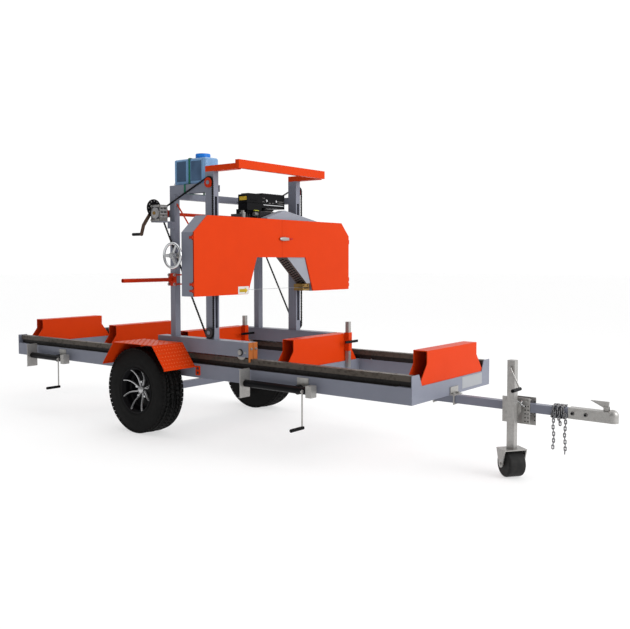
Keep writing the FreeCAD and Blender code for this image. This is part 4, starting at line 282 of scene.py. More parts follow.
# Dark orange that paints the shade along the near door's folded edge.
PAINTED_SHADE_ORANGE = Finish("painted_shade_orange", (0.24, 0.02, 0.004), (0.16, 0.014, 0.004), 0.5, 0.12, mix=0.3,
                     gloss=0.04)
PLATE = Finish("label_plate", (0.33, 0.34, 0.36), (0.25, 0.26, 0.28), 0.4, 0.1, 0.2, mix=0.3)
LINK_STEEL = Finish("chain_zinc", (0.3, 0.3, 0.31), (0.07, 0.07, 0.075), 0.3, 0.1, 0.9, wave=Wave.ZINC,
                    bump=0.02, mix=0.7)
# Near-black finish that paints the shade in the gaps under the rails and under the front bunk, with rust-like
# spots.
PAINTED_GAP_SHADE = Finish("painted_gap_shade", (0.02, 0.018, 0.017), (0.006, 0.006, 0.006), 0.6, 0.1, 0.2,
                    wave=Wave.RUST, bump=0.1, mix=0.5)
ZINC = Finish("zinc_plate", (0.43, 0.42, 0.405), (0.24, 0.235, 0.225), 0.42, 0.12, 0.75, wave=Wave.ZINC,
              bump=0.05, mix=0.5)
BLACK = Finish("paint_black", (0.003, 0.003, 0.004), (0.009, 0.009, 0.0105), 0.42, 0.12, mix=0.5,
               gloss=0.08)
CHROME = Finish("polished_chrome", (0.6, 0.61, 0.62), (0.4, 0.4, 0.42), 0.16, 0.06, 1.0, wave=Wave.STEEL,
                bump=0.01, mix=0.3)
SILVER = Finish("machined_alloy", (0.5, 0.5, 0.51), (0.26, 0.26, 0.26), 0.3, 0.1, 0.9, wave=Wave.STEEL,
                bump=0.02, mix=0.4)
CAST = Finish("cast_alloy", (0.26, 0.255, 0.245), (0.08, 0.08, 0.08), 0.5, 0.15, 0.7, wave=Wave.CAST,
              bump=0.3, mix=0.7)
IRON = Finish("engine_cast", (0.07, 0.07, 0.074), (0.018, 0.018, 0.02), 0.5, 0.15, 0.5, wave=Wave.CAST,
              bump=0.3, mix=0.7)
RUBBER = Finish("tyre_rubber", (0.005, 0.005, 0.005), (0.011, 0.0105, 0.01), 0.72, 0.1, wave=Wave.RUBBER,
                bump=0.12, mix=0.5, gloss=0.12)
CASTER = Finish("caster_rubber", (0.012, 0.012, 0.012), (0.035, 0.032, 0.03), 0.62, 0.12, wave=Wave.RUBBER,
                bump=0.1, mix=0.6)
TANK = Finish("tank_plastic", (0.21, 0.38, 0.62), (0.12, 0.25, 0.43), 0.2, 0.06, coat=0.2, wave=Wave.TANK,
              bump=0.03, mix=0.6)
# Darker blue that paints the shade on the panels of the tank's near face.
TANK_SHADE = Finish("tank_shaded", (0.08, 0.15, 0.26), (0.035, 0.065, 0.12), 0.2, 0.06, coat=0.2,
                   wave=Wave.TANK, bump=0.03, mix=0.7)
CAP = Finish("cap_plastic", (0.015, 0.2, 0.68), (0.008, 0.1, 0.42), 0.34, 0.08, wave=Wave.PLASTIC,
             scale=14.0, mix=0.6)
STRAP = Finish("strap_green", (0.01, 0.15, 0.085), (0.004, 0.07, 0.04), 0.65, 0.1, wave=Wave.PLASTIC,
               scale=60.0, bump=0.2, mix=0.8)
BLADE = Finish("spring_steel", (0.38, 0.39, 0.4), (0.2, 0.21, 0.22), 0.32, 0.1, 0.9, wave=Wave.STEEL,
               mix=0.4)
BRASS = Finish("machined_brass", (0.3, 0.185, 0.062), (0.12, 0.07, 0.02), 0.42, 0.1, 0.8, wave=Wave.STEEL,
               mix=0.5)
BELT = Finish("belt_rubber", (0.012, 0.012, 0.012), (0.03, 0.03, 0.03), 0.68, 0.1, wave=Wave.RUBBER,
              mix=0.5)
CHAIN = Finish("oiled_chain", (0.006, 0.006, 0.007), (0.016, 0.0155, 0.015), 0.55, 0.12, 0.1, gloss=0.1,
               wave=Wave.CAST, mix=0.5)
RED = Finish("red_plastic", (0.42, 0.008, 0.007), (0.25, 0.006, 0.005), 0.4, 0.1, wave=Wave.PLASTIC,
             mix=0.4)
YELLOW = Finish("plain_yellow", (0.62, 0.42, 0.03), (0.45, 0.28, 0.02), 0.5, 0.1, wave=Wave.PLASTIC,
                mix=0.5)
LIME = Finish("dipstick_yellow", (0.4, 0.42, 0.03), (0.25, 0.26, 0.02), 0.5, 0.1, wave=Wave.PLASTIC,
              mix=0.4)
WHITE = Finish("plain_white", (0.6, 0.6, 0.58), (0.48, 0.48, 0.46), 0.5, 0.1, wave=Wave.PLASTIC, mix=0.4)
BRONZE = Finish("brown_steel", (0.13, 0.085, 0.06), (0.04, 0.028, 0.022), 0.45, 0.14, 0.6, wave=Wave.RUST,
                bump=0.1, mix=0.6)
SLANT = Finish("slant_cover", (0.12, 0.1, 0.092), (0.06, 0.05, 0.045), 0.5, 0.12, 0.1, wave=Wave.RUST,
               bump=0.1, mix=0.5)
# Near-black finish for flat marks that paint the shade inside slots, vents and holes.
HOLE_SHADE = Finish("painted_hole_shade", (0.003, 0.003, 0.003), (0.008, 0.008, 0.008), 0.85, 0.05, wave=Wave.PLASTIC,
              mix=0.3)
AMBER = Finish("wiper_plastic", (0.42, 0.13, 0.03), (0.25, 0.07, 0.02), 0.5, 0.1, wave=Wave.PLASTIC,
               mix=0.5)

_made: dict[str, bpy.types.Material] = {}


def material(finish: Finish) -> bpy.types.Material:
    """Give the material of a finish, made once."""
    if finish.name not in _made:
        _made[finish.name] = Shader(finish).build()
    return _made[finish.name]


# Mesh building


X, Y, Z = Vector((1, 0, 0)), Vector((0, 1, 0)), Vector((0, 0, 1))


def radial(angle: float) -> Vector:
    """Give the direction at an angle in the plane of X and Z."""
    return Vector((math.cos(angle), 0, math.sin(angle)))


def circle(count: int, start: float = 0.0) -> list[float]:
    """Give evenly spaced angles once around."""
    return [math.tau * step / count + start for step in range(count)]


def turn_to(direction: Vector) -> Matrix:
    """Give the turn that takes Z to a direction."""
    return direction.to_track_quat("Z", "Y").to_matrix().to_4x4()


class Builder:
    """Collects simple shapes into one mesh."""

    def __init__(self) -> None:
        self.bm = bmesh.new()

    def box(self, x0: float, x1: float, y0: float, y1: float, z0: float, z1: float) -> "Builder":
        """Add a box between limits in millimetres."""
        low, high = at(x0, y0, z0), at(x1, y1, z1)
        spot = Matrix.Translation((low + high) / 2) @ Matrix.Diagonal((*(high - low), 1.0))
        bmesh.ops.create_cube(self.bm, size=1.0, matrix=spot)
        return self

    def rod(self, start: Point, end: Point, radius: float, sides: int = 24,
            tip: Optional[float] = None) -> "Builder":
        """Add a cylinder or cone between two points in millimetres."""
        a, b = at(*start), at(*end)
        bmesh.ops.create_cone(self.bm, cap_ends=True, segments=sides, radius1=radius / MM,
                              radius2=(radius if tip is None else tip) / MM, depth=(b - a).length,
                              matrix=Matrix.Translation((a + b) / 2) @ turn_to(b - a))
        return self

    def points(self, spots: Iterable[Vector]) -> list[bmesh.types.BMVert]:
        """Add vertices at places in metres."""
        return [self.bm.verts.new(spot) for spot in spots]

    def skin(self, rings: Sequence[Sequence[bmesh.types.BMVert]]) -> None:
        """Join each ring of vertices to the next with faces."""
        for first, second in zip(rings, rings[1:]):
            for step in range(len(first)):
                after = (step + 1) % len(first)
                self.bm.faces.new((first[step], first[after], second[after], second[step]))

    def lathe(self, centre: Point, axis: Vector, profile: Sequence[Span], steps: int = 96) -> "Builder":
        """Add a turned shape: the profile holds (radius, distance along the axis) in millimetres."""
        origin, turn = at(*centre), turn_to(axis)
        ways = [(math.cos(angle), math.sin(angle)) for angle in circle(steps)]
        self.skin([self.points(origin + turn @ (Vector((radius * c, radius * s, along)) / MM)
                               for c, s in ways) for radius, along in profile])
        return self

    def plate(self, outline: Sequence[Point], thick: Vector) -> "Builder":
        """Add a flat plate from an outline in millimetres and a thickness vector in metres."""
        lower = self.points(at(*p) for p in outline)
        upper = self.points(v.co + thick for v in lower)
        self.bm.faces.new(lower)
        self.bm.faces.new(list(reversed(upper)))
        self.skin([lower, upper])
        return self

    def mesh(self, name: str) -> bpy.types.Mesh:
        """Give the collected shapes as a mesh."""
        bmesh.ops.recalc_face_normals(self.bm, faces=self.bm.faces)
        mesh = bpy.data.meshes.new(name)
        self.bm.to_mesh(mesh)
        self.bm.free()
        return mesh


SHARP_ANGLE = math.radians(35.0)


def smooth(obj: bpy.types.Object, bevel: float = 0.0) -> None:
    """Shade an object smooth but for its sharp edges, and round those by a bevel in millimetres."""
    mesh = obj.data
    for polygon in mesh.polygons:
        polygon.use_smooth = True
    if bevel:
        cut = obj.modifiers.new("edge", "BEVEL")
        cut.width = bevel / MM
        cut.segments = 2
        cut.limit_method = "ANGLE"
        cut.angle_limit = SHARP_ANGLE
        cut.harden_normals = False
    work = bmesh.new()
    work.from_mesh(mesh)
    flags = [len(e.link_faces) == 2 and e.calc_face_angle(0.0) > SHARP_ANGLE for e in work.edges]
    work.free()
    attribute = mesh.attributes.get("sharp_edge") or mesh.attributes.new("sharp_edge", "BOOLEAN", "EDGE")
    attribute.data.foreach_set("value", flags)


def piece(name: str, shape: Union[Builder, bpy.types.Mesh], finish: Finish, body: str, slot: str,
          bevel: float = 0.0, stands_for: Iterable[str] = ()) -> bpy.types.Object:
    """Add one finished piece to the scene.

    Args:
        name: the piece's name.
        shape: its collected shapes or its mesh, already in place.
        finish: its finish.
        body: the moving body that it belongs to.
        slot: the record's material slot; not used.
        bevel: edge radius in millimetres.
        stands_for: model nodes that it is shown in place of.

    Returns:
        The object.
    """
    mesh = shape.mesh(name) if isinstance(shape, Builder) else shape
    obj = bpy.data.objects.new(name, mesh)
    bpy.context.scene.collection.objects.link(obj)
    mesh.materials.clear()
    mesh.materials.append(material(finish))
    smooth(obj, bevel)
    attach(obj, body)
    names = list(stands_for)
    if names:
        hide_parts(*names)
    LOG.info("piece %s: %d faces on %s", name, len(mesh.polygons), body)
    return obj


def block(name: str, finish: Finish, body: str, slot: str, *boxes: tuple[float, ...],
          bevel: float = 0.5) -> None:
    """Add one piece made of boxes, each given by its limits in millimetres."""
    builder = Builder()
    for limits in boxes:
        builder.box(*limits)
    piece(name, builder, finish, body, slot, bevel)


# Repeated pieces


class Repeater:
    """A Geometry Nodes tree that sets copies of one mesh on the points of another."""

    def __init__(self) -> None:
        tree = bpy.data.node_groups.new("copies_on_points", "GeometryNodeTree")
        for name, way, kind in (("Geometry", "INPUT", "Geometry"), ("Part", "INPUT", "Object"),
                                ("Finish", "INPUT", "Material"), ("Size", "INPUT", "Float"),
                                ("Geometry", "OUTPUT", "Geometry")):
            tree.interface.new_socket(name, in_out=way, socket_type="NodeSocket" + kind)
        source, info, turn, place_on, real, paint_on, out = (tree.nodes.new(kind) for kind in (
            "NodeGroupInput", "GeometryNodeObjectInfo", "GeometryNodeInputNamedAttribute",
            "GeometryNodeInstanceOnPoints", "GeometryNodeRealizeInstances", "GeometryNodeSetMaterial",
            "NodeGroupOutput"))
        turn.data_type = "FLOAT_VECTOR"
        turn.inputs["Name"].default_value = "turn"
        for first, output, second, name in (
                (source, "Geometry", place_on, "Points"), (source, "Part", info, "Object"),
                (info, "Geometry", place_on, "Instance"), (turn, "Attribute", place_on, "Rotation"),
                (source, "Size", place_on, "Scale"), (place_on, "Instances", real, "Geometry"),
                (real, "Geometry", paint_on, "Geometry"), (source, "Finish", paint_on, "Material"),
                (paint_on, "Geometry", out, "Geometry")):
            tree.links.new(first.outputs[output], second.inputs[name])
        self.tree = tree

    def run(self, name: str, part: bpy.types.Mesh, places: Sequence[Matrix], finish: Finish,
            size: float = 1.0) -> bpy.types.Mesh:
        """Give one mesh that holds a copy of the part at every place.

        Args:
            name: name of the new mesh.
            part: mesh of one copy, around its own origin, in metres.
            places: where the copies go, in metres.
            finish: finish of the copies.
            size: scale of each copy.

        Returns:
            The plain mesh.
        """
        points = bpy.data.meshes.new(name + "_points")
        points.from_pydata([m.translation for m in places], [], [])
        turns = points.attributes.new("turn", "FLOAT_VECTOR", "POINT")
        turns.data.foreach_set("vector", [c for m in places for c in m.to_euler()])
        carrier = bpy.data.objects.new(name + "_points", points)
        model = bpy.data.objects.new(name + "_part", part)
        for obj in (carrier, model):
            bpy.context.scene.collection.objects.link(obj)
        modifier = carrier.modifiers.new("copies", "NODES")
        modifier.node_group = self.tree
        values = {"Part": model, "Finish": material(finish), "Size": size}
        for item in self.tree.interface.items_tree:
            if item.in_out == "INPUT" and item.name in values:
                modifier[item.identifier] = values[item.name]
        bpy.context.view_layer.update()
        graph = bpy.context.evaluated_depsgraph_get()
        mesh = bpy.data.meshes.new_from_object(carrier.evaluated_get(graph), depsgraph=graph)
        mesh.name = name
        for obj in (carrier, model):
            bpy.data.objects.remove(obj, do_unlink=True)
        return mesh

    def spread(self, name: str, part: bpy.types.Mesh, finish: Finish, body: str, slot: str,
               places: Sequence[Matrix], stands_for: Iterable[str] = ()) -> None:
        """Add one piece that holds equal small parts, one at each place."""
        piece(name, self.run(name, part, places, finish), finish, body, slot, stands_for=stands_for)


def own_mesh(name: str, shape: Callable[[Builder], object]) -> bpy.types.Mesh:
    """Give a part mesh drawn around its own origin, for copying."""
    builder = Builder()
    shape(builder)
    for vertex in builder.bm.verts:
        vertex.co -= SHIFT
    return builder.mesh(name)


WASHER_HIGH, WASHER_WIDE, HEAD_WIDE, SHANK_WIDE = 0.18, 0.72, 0.55, 0.3


def hex_bolt(width: float, height: float, shank: float = 0.0) -> bpy.types.Mesh:
    """Give a hexagon head on a washer, with a short threaded end if asked; it points along Z."""
    def shape(b: Builder) -> None:
        """Draw the washer, the head and the threaded end."""
        b.rod((0, 0, 0), (0, 0, height * WASHER_HIGH), width * WASHER_WIDE, 20)
        b.rod((0, 0, height * WASHER_HIGH), (0, 0, height), width * HEAD_WIDE, 6)
        if shank:
            b.rod((0, 0, height), (0, 0, height + shank), width * SHANK_WIDE, 12)
    return own_mesh("bolt", shape)


def disc(low: float, high: float, radius: float, sides: int, tip: Optional[float] = None) -> bpy.types.Mesh:
    """Give a round part along Z, for copying."""
    return own_mesh("disc", lambda b: b.rod((0, 0, low), (0, 0, high), radius, sides, tip))


def place(point: Point, direction: Vector, roll: float = 0.0) -> Matrix:
    """Give the place of a copy: at a drawing point, with its Z along a direction."""
    return Matrix.Translation(at(*point)) @ turn_to(direction) @ Matrix.Rotation(roll, 4, "Z")


# Road wheels

AXLE = (-2188.0, 624.0, 313.0)
TYRE_HALF = [(152.5, 80), (160, 84), (166, 88), (176, 89), (180, 90.6), (192, 92.5), (196, 91.6),
             (222, 94.6), (240, 94.8), (262, 93.6), (280, 92), (292, 89.4), (300, 86), (305, 81),
             (308.2, 74), (309.6, 62), (310.2, 44), (305.5, 43), (305.5, 37), (310.4, 36), (310.8, 6),
             (305.5, 5)]
RIM_FACE = [(160.0, 82), (167.5, 86), (168.5, 90), (166, 93), (161, 93), (156, 88), (150, 68),
            (143, 38), (128, 20), (60, 26), (40, 30), (22, 30), (22, 44), (18, 47), (0.5, 48)]
RIM_BARREL = [(137, 60), (140, 20), (139, -60), (148, -82), (152, -82), (152, -76), (143, -56),
              (143, 56), (152, 76), (160.0, 82)]
RIM_HUB = [(120, 20), (60, 14), (44, -48), (15.2, -48), (15.2, -47)]
SPOKE_ROOT, SPOKE_LONG, SPOKE_BEND = 26, 133, 0.16
SPOKE_DEEP, SPOKE_RISE, SPOKE_CURVE, SPOKE_THICK = 38, 50, 1.5, 9
SPOKE_WIDE, SPOKE_TAPER, SPOKE_FLARE, SPOKE_RIDGE = 8.6, 3.6, 3.0, 0.55
HUB_CAP = [(30, 34), (30, 44), (27, 50), (20, 54), (10, 56.5), (0.4, 57)]


@dataclass
class RoadWheel:
    """One road wheel: a treaded tyre on a dished black rim with thin bright spokes.

    Attributes:
        side: -1 for the near wheel, 1 for the far one.
        name: near or far.
        blocks: tread blocks in each row.
        spokes: number of spokes.
        steps: lengths that a spoke is drawn in.
    """

    side: int
    name: str
    blocks: int = 58
    spokes: int = 8
    steps: int = 10

    @property
    def centre(self) -> Point:
        """Middle of the wheel."""
        return (AXLE[0], self.side * AXLE[1], AXLE[2])

    @property
    def body(self) -> str:
        """Name of the moving body."""
        return "road_wheel_" + self.name

    def round(self, angle: float, radius: float, along: float) -> Point:
        """Give a point on the wheel from an angle, a radius and a distance out along the axle."""
        x, y, z = self.centre
        return (x + radius * math.cos(angle), y + self.side * along, z + radius * math.sin(angle))

    def rows(self, *rows: tuple[float, ...]) -> list[Matrix]:
        """Give the places of blocks around the tyre.

        Args:
            rows: for each row its distance out, its lag in blocks, and its radius, slant and tilt.

        Returns:
            The places.
        """
        places = []
        for along, lag, radius, slant, tilt in rows:
            for index in range(self.blocks):
                angle = math.tau * (index + lag) / self.blocks
                out = radial(angle)
                base = Matrix((Vector((-out.z, 0, out.x)), Y, out)).transposed().to_4x4()
                places.append(Matrix.Translation(at(*self.round(angle, radius, along))) @ base
                              @ Matrix.Rotation(slant, 4, "Z") @ Matrix.Rotation(tilt * self.side, 4, "X"))
        return places

    def tyre(self, repeater: Repeater) -> None:
        """Build the tyre's body, its tread blocks and its shoulder lugs."""
        profile = TYRE_HALF + [(r, -y) for r, y in reversed(TYRE_HALF)]
        shape = Builder().lathe(self.centre, Y, profile, 144)
        piece("tyre_body_" + self.name, shape, RUBBER, self.body, "tyre",
              stands_for=["tyre_" + self.name])
        tread = own_mesh("tread_block", lambda b: b.box(-14.6, 14.6, -13.8, 13.8, -9, 0))
        repeater.spread("tyre_tread_" + self.name, tread, RUBBER, self.body, "tyre", self.rows(
            (58.0, 0.0, 310.1, 0.35, 0.16), (24.5, 0.5, 312.7, -0.3, 0.0),
            (-24.5, 0.1, 312.7, -0.3, 0.0), (-58.0, 0.6, 310.1, 0.35, -0.16)))
        lug = own_mesh("shoulder_lug", lambda b: b.box(-14.4, 14.4, -14, 14, -7, 0))
        repeater.spread("tyre_lugs_" + self.name, lug, RUBBER, self.body, "tyre", self.rows(
            (-80.2, 0.25, 299.8, 0.0, 0.85), (80.2, 0.25, 299.8, 0.0, -0.85)))

    def spoke(self, builder: Builder, angle: float) -> None:
        """Add one curved spoke that widens at its outer end."""
        rings = []
        for step in range(self.steps + 1):
            share = step / self.steps
            bend = angle + SPOKE_BEND * math.sin(share * math.pi) * self.side
            radius, along = SPOKE_ROOT + SPOKE_LONG * share, SPOKE_DEEP + SPOKE_RISE * share ** SPOKE_CURVE
            width = SPOKE_WIDE - SPOKE_TAPER * share + (SPOKE_FLARE if step == self.steps else 0.0)
            across, ridge = Vector((-math.sin(bend), 0, math.cos(bend))), width * SPOKE_RIDGE
            rings.append(builder.points(
                at(*self.round(bend, radius, depth)) + across * (w / MM) for w, depth in
                ((-width, along - SPOKE_THICK), (-ridge, along), (ridge, along),
                 (width, along - SPOKE_THICK))))
        builder.skin(rings)
        builder.bm.faces.new(rings[-1])

    def rim(self, repeater: Repeater) -> None:
        """Build the dished rim, its spokes, hub cap and wheel nuts."""
        axis = Y * self.side
        dish = Builder().lathe(self.centre, axis, RIM_FACE).lathe(self.centre, axis, RIM_BARREL)
        dish.lathe(self.centre, axis, RIM_HUB, 48)
        piece("rim_dish_" + self.name, dish, BLACK, self.body, "black_paint",
              stands_for=["rim_" + self.name])
        silver = Builder()
        for index in range(self.spokes):
            self.spoke(silver, math.tau * (index + 0.5) / self.spokes)
        silver.lathe(self.centre, axis, HUB_CAP, 40)
        piece("rim_spokes_" + self.name, silver, SILVER, self.body,
              "cast_silver", 0.4)
        nuts = [place(self.round(angle, 57, 26), axis) for angle in circle(5, 0.3)]
        repeater.spread("wheel_nuts_" + self.name, hex_bolt(15, 14), CHROME, self.body, "chrome", nuts)

    def add(self, repeater: Repeater) -> None:
        """Put the whole wheel into the scene."""
        self.tyre(repeater)
        self.rim(repeater)


# Chains

LOOP = ((-1655.0, 1797.0, 39.0), (-2110.0, 1597.0, 42.0), (-1655.0, 748.0, 39.0))


def loop_path() -> list[Span]:
    """Give the closed pitch line of a lift chain round its three sprockets, as (x, z) points."""
    path: list[Span] = []
    runs = []
    for index, (a0, b0, r0) in enumerate(LOOP):
        a1, b1, r1 = LOOP[(index + 1) % len(LOOP)]
        turn = math.atan2(b1 - b0, a1 - a0) - math.acos((r0 - r1) / math.hypot(a1 - a0, b1 - b0))
        runs.append(((a0 + r0 * math.cos(turn), b0 + r0 * math.sin(turn)), turn))
    for index, (start, turn) in enumerate(runs):
        following = (index + 1) % len(LOOP)
        a, b, radius = LOOP[following]
        sweep = (runs[following][1] - turn) % math.tau
        steps = max(6, int(sweep * radius / 4))
        path.append(start)
        path += [(a + radius * math.cos(turn + sweep * s / steps),
                  b + radius * math.sin(turn + sweep * s / steps))
                 for s in range(steps + 1)]
    return path + path[:1]


def loop_points(spacing: float) -> list[tuple[float, float, float]]:
    """Give evenly spaced (x, z, direction) places on the lift chain's pitch line."""
    path = loop_path()
    lengths = [math.dist(p, q) for p, q in zip(path, path[1:])]
    total = sum(lengths)
    count = round(total / spacing / 2) * 2
    places, walked, leg = [], 0.0, 0
    for number in range(count):
        target = total * number / count
        while walked + lengths[leg] < target:
            walked += lengths[leg]
            leg += 1
        (x0, z0), (x1, z1) = path[leg], path[leg + 1]
        share = (target - walked) / lengths[leg]
        places.append((x0 + (x1 - x0) * share, z0 + (z1 - z0) * share, math.atan2(z1 - z0, x1 - x0)))
    return places


@dataclass
class LiftChains:
    """The two roller chains that lift the head, and the teeth of their sprockets.

    Attributes:
        pitch: length of one link.
        plane: distance of each chain from the middle plane.
        depth: how far a tooth's foot lies inside the pitch circle.
    """

    pitch: float = 12.7
    plane: float = 488.0
    depth: float = 5.0

    def link(self) -> bpy.types.Mesh:
        """Give one pitch of chain: two side plates and a roller, along X."""
        def shape(b: Builder) -> None:
            """Draw the plates, the pin heads and the roller."""
            for side in SIDES:
                b.box(-6.4, 6.4, *sorted((side * 3.2, side * 4.4)), -2.6, 2.6)
                b.rod((0, side * 3.2, 0), (0, side * 4.9, 0), 5.8, 14)
            b.rod((0, -3.2, 0), (0, 3.2, 0), 4.2, 14)
        return own_mesh("chain_link", shape)

    def add(self, repeater: Repeater) -> None:
        """Put the chains and teeth into the scene."""
        places = [Matrix.Translation(at(x, side * self.plane, z)) @ Matrix.Rotation(-angle, 4, "Y")
                  for side in SIDES for x, z, angle in loop_points(self.pitch)]
        repeater.spread("lift_chain_links", self.link(), CHAIN, "carriage", "chain_steel", places,
                        ["lift_chains"])
        tooth = disc(-3.4, 3.6, 2.6, 8, 1.1)
        for name, body, finish, (x, z, radius), count in (
                ("teeth_top", "sprockets_top", DEEP_ORANGE, LOOP[0], 19),
                ("teeth_low", "sprockets_low", IRON, LOOP[2], 19),
                ("teeth_shaft", "lift", DEEP_ORANGE, LOOP[1], 21)):
            foot = radius - self.depth
            spots = [place((x + foot * math.cos(a), side * self.plane, z + foot * math.sin(a)),
                           radial(a)) for side in SIDES for a in circle(count)]
            repeater.spread(name, tooth, finish, body, "orange_paint", spots)


@dataclass
class SafetyChains:
    """The two safety chains that are wrapped round the tongue and hang from it.

    Attributes:
        wire: radius of the links' wire.
        bend, straight: radius of a link's round ends and half its straight length.
        pitch: distance between hanging links.
        top: height of the first hanging link.
        middle: height of the middle of the tongue.
        half: half the side of the square that the wraps follow.
    """

    wire: float = 3.6
    bend: float = 5.6
    straight: float = 6.2
    pitch: float = 19.0
    top: float = 384.0
    middle: float = 397.0
    half: float = 33.0

    def link(self) -> bpy.types.Mesh:
        """Give one oval link, standing along Z."""
        builder = Builder()
        rings = []
        for angle in circle(28):
            out = radial(angle)
            centre = out * self.bend + Z * math.copysign(self.straight, math.sin(angle))
            rings.append(builder.points(
                (centre + (out * math.cos(a) + Y * math.sin(a)) * self.wire) / MM for a in circle(8)))
        builder.skin(rings + rings[:1])
        return builder.mesh("safety_link")

    def wrap(self, x: float, lean: float) -> list[Matrix]:
        """Give the places of the links of one turn round the tongue."""
        low, high = self.middle - self.half, self.middle + self.half
        corners = [(-self.half, low), (self.half, low), (self.half, high), (-self.half, high)]
        places = []
        for (y0, z0), (y1, z1) in zip(corners, corners[1:] + corners[:1]):
            for step in range(3):
                share = (step + 0.5) / 3
                z = z0 + (z1 - z0) * share
                spot = at(x + lean * (z - self.middle) / self.half, y0 + (y1 - y0) * share, z)
                along = Vector((0, y1 - y0, z1 - z0)).normalized()
                roll = math.pi / 2 * (len(places) % 2) + 0.4
                places.append(Matrix.Translation(spot) @ turn_to(along) @ Matrix.Rotation(roll, 4, "Z"))
        return places

    def add(self, repeater: Repeater) -> None:
        """Put both chains into the scene."""
        places = []
        for x, low in ((655.0, 163.0), (722.0, 139.0)):
            for index in range(int((self.top - low) / self.pitch)):
                sway = 2.5 * math.sin(index * 0.9 + x)
                places.append(Matrix.Translation(at(x + sway, -38.0, self.top - index * self.pitch))
                              @ Matrix.Rotation(math.pi / 2 * (index % 2) + 0.35, 4, "Z"))
        for x, lean in ((648.0, 7.0), (659.0, -10.0), (671.0, 12.0), (683.0, -9.0), (695.0, 10.0),
                        (707.0, -6.0)):
            places += self.wrap(x, lean)
        places += [Matrix.Translation(at(686 + 4 * step, -41, 362 - 14 * step))
                   @ Matrix.Rotation(1.6 * step, 4, "Z") for step in range(3)]
        repeater.spread("safety_chain_links", self.link(), LINK_STEEL, "trailer", "zinc", places,
                        ["safety_chains"])


# Engine, guards and door


FILTER_X, FILTER_Y, SHIELD_X = -1680.0, -70.0, -1684.0


def dress_air_cleaner() -> None:
    """Put a seam lip, a raised lid and a plain yellow patch on the air cleaner."""
    x, y = FILTER_X, FILTER_Y
    block("cleaner_lip", BLACK, "head", "black_cover", (x - 98, x + 7, y - 8, 96, 1687, 1692),
          (x - 82, x - 8, y + 22, 84, 1747, 1756), (x - 1, x + 2.5, y + 34, 46, 1700, 1703),
          (x - 1, x + 2.5, y + 34, 46, 1708, 1711), bevel=1.2)
    block("cleaner_patch", YELLOW, "head", "black_cover", (x - 78, x - 5, y - 0.8, y + 1, 1703, 1731))


def dress_shield(repeater: Repeater) -> None:
    """Put ribs, slots, screws and a bright strip on the exhaust shield."""
    x = SHIELD_X
    ribs = [(x - 112, x + 1.5, 104 + 28.5 * i, 118 + 28.5 * i, 1758, 1764) for i in range(9)]
    block("shield_ribs", IRON, "head", "engine_grey", *ribs, bevel=1.5)
    block("shield_strip", CHROME, "head", "chrome", (x - 1, x + 2, 116, 346, 1673, 1678.5))
    slots = [(x - 1, x + 1.2, y, y + w, z, z + 3.4) for y, w, z in (
        (104, 26, 1725), (104, 22, 1697), (286, 62, 1706), (280, 70, 1691), (176, 24, 1690), (216, 22, 1690))]
    block("shield_slots", CAST, "head", "engine_grey", *slots, bevel=0.3)
    screws = [place((x, y, 1708), X) for y in (151, 262)]
    repeater.spread("shield_screws", hex_bolt(13, 5), CHROME, "head", "chrome", screws)


def dress_engine() -> None:
    """Put in the cooling fins, the carburettor, the filler handle and the bright bracket in front."""
    front = [(-1634, -1622, 26 + 11 * i, 30 + 11 * i, 1520, 1618) for i in range(12)]
    side = [(-1808 + 14 * i, -1803 + 14 * i, 8, 22, 1470, 1618) for i in range(12)]
    block("case_fins", IRON, "head", "engine_grey", *front, *side)
    builder = Builder()
    for start, end, radius in (
            ((-1700, -96, 1566), (-1700, -96, 1612), 22), ((-1700, -96, 1612), (-1700, -96, 1624), 13),
            ((-1660, -20, 1598), (-1660, 60, 1598), 16), ((-1640, 150, 1600), (-1618, 150, 1600), 22)):
        builder.rod(start, end, radius, 32)
    piece("carburettor", builder, CAST, "head", "engine_grey", 0.6)
    block("filler_handle", LIME, "head", "black_cover", (-1676, -1664, -6, 42, 1624, 1631))
    block("front_bracket", CHROME, "head", "chrome", (-1622, -1618, 112, 176, 1590, 1596),
          (-1622, -1618, 140, 148, 1566, 1626), (-1622, -1618, 160, 167, 1578, 1606))


STRIP_LOW, STRIP_HIGH = Vector((-1548.0, 410.0, 1076.0)), Vector((-1548.0, 175.0, 1277.0))
STRIP_SKIN = 2.5


def dress_guards(repeater: Repeater) -> None:
    """Put in the vents of the belt guard's slanting strip and the slot and bolts of each band guide."""
    along = (STRIP_HIGH - STRIP_LOW).normalized()
    face = along.cross(X)
    face = (face if face.z < 0 else -face) * STRIP_SKIN
    turn = Matrix((X, along, X.cross(along))).transposed().to_4x4()
    places = []
    for column, x in enumerate((-1582.0, -1555.0, -1528.0)):
        for index in range(12):
            spot = STRIP_LOW.lerp(STRIP_HIGH, (index + 0.6 + 0.5 * (column % 2)) / 13)
            places.append(Matrix.Translation(at(x, spot.y + face.y, spot.z + face.z)) @ turn)
    # The vents and the guide slots are flat marks painted as the shade inside the openings.
    vent = own_mesh("vent", lambda b: b.box(-10.5, 10.5, -6, 6, -1.0, 1.0))
    repeater.spread("strip_slots", vent, HOLE_SHADE, "head", "black_paint", places)
    block("guide_slots", HOLE_SHADE, "head", "black_paint", (-1507, -1505.7, 382, 442, 1034, 1041),
          (-1507, -1505.7, -362, -302, 1034, 1041))
    bolts = [place((-1506.0, y, 1061), X) for y in (386, 434, -356, -308)]
    repeater.spread("guide_bolts", hex_bolt(13, 6), BRASS, "head", "brass", bolts)


LATCH = (-1479.0, 118.0, 1414.0)
LATCH_PROFILE = [(0.3, -48), (6, -46), (10, -40), (13, -24), (14, 0), (13, 24), (10, 44), (7, 52), (0.3, 53)]
LATCH_FLATTEN = 0.6
DOOR_FRONT = -1489.0
ARROW_MIDDLE = (-316.0, 1043.0)
ARROW = ((-42, -11), (14, -11), (14, -21), (43, 0), (14, 21), (14, 11), (-42, 11))


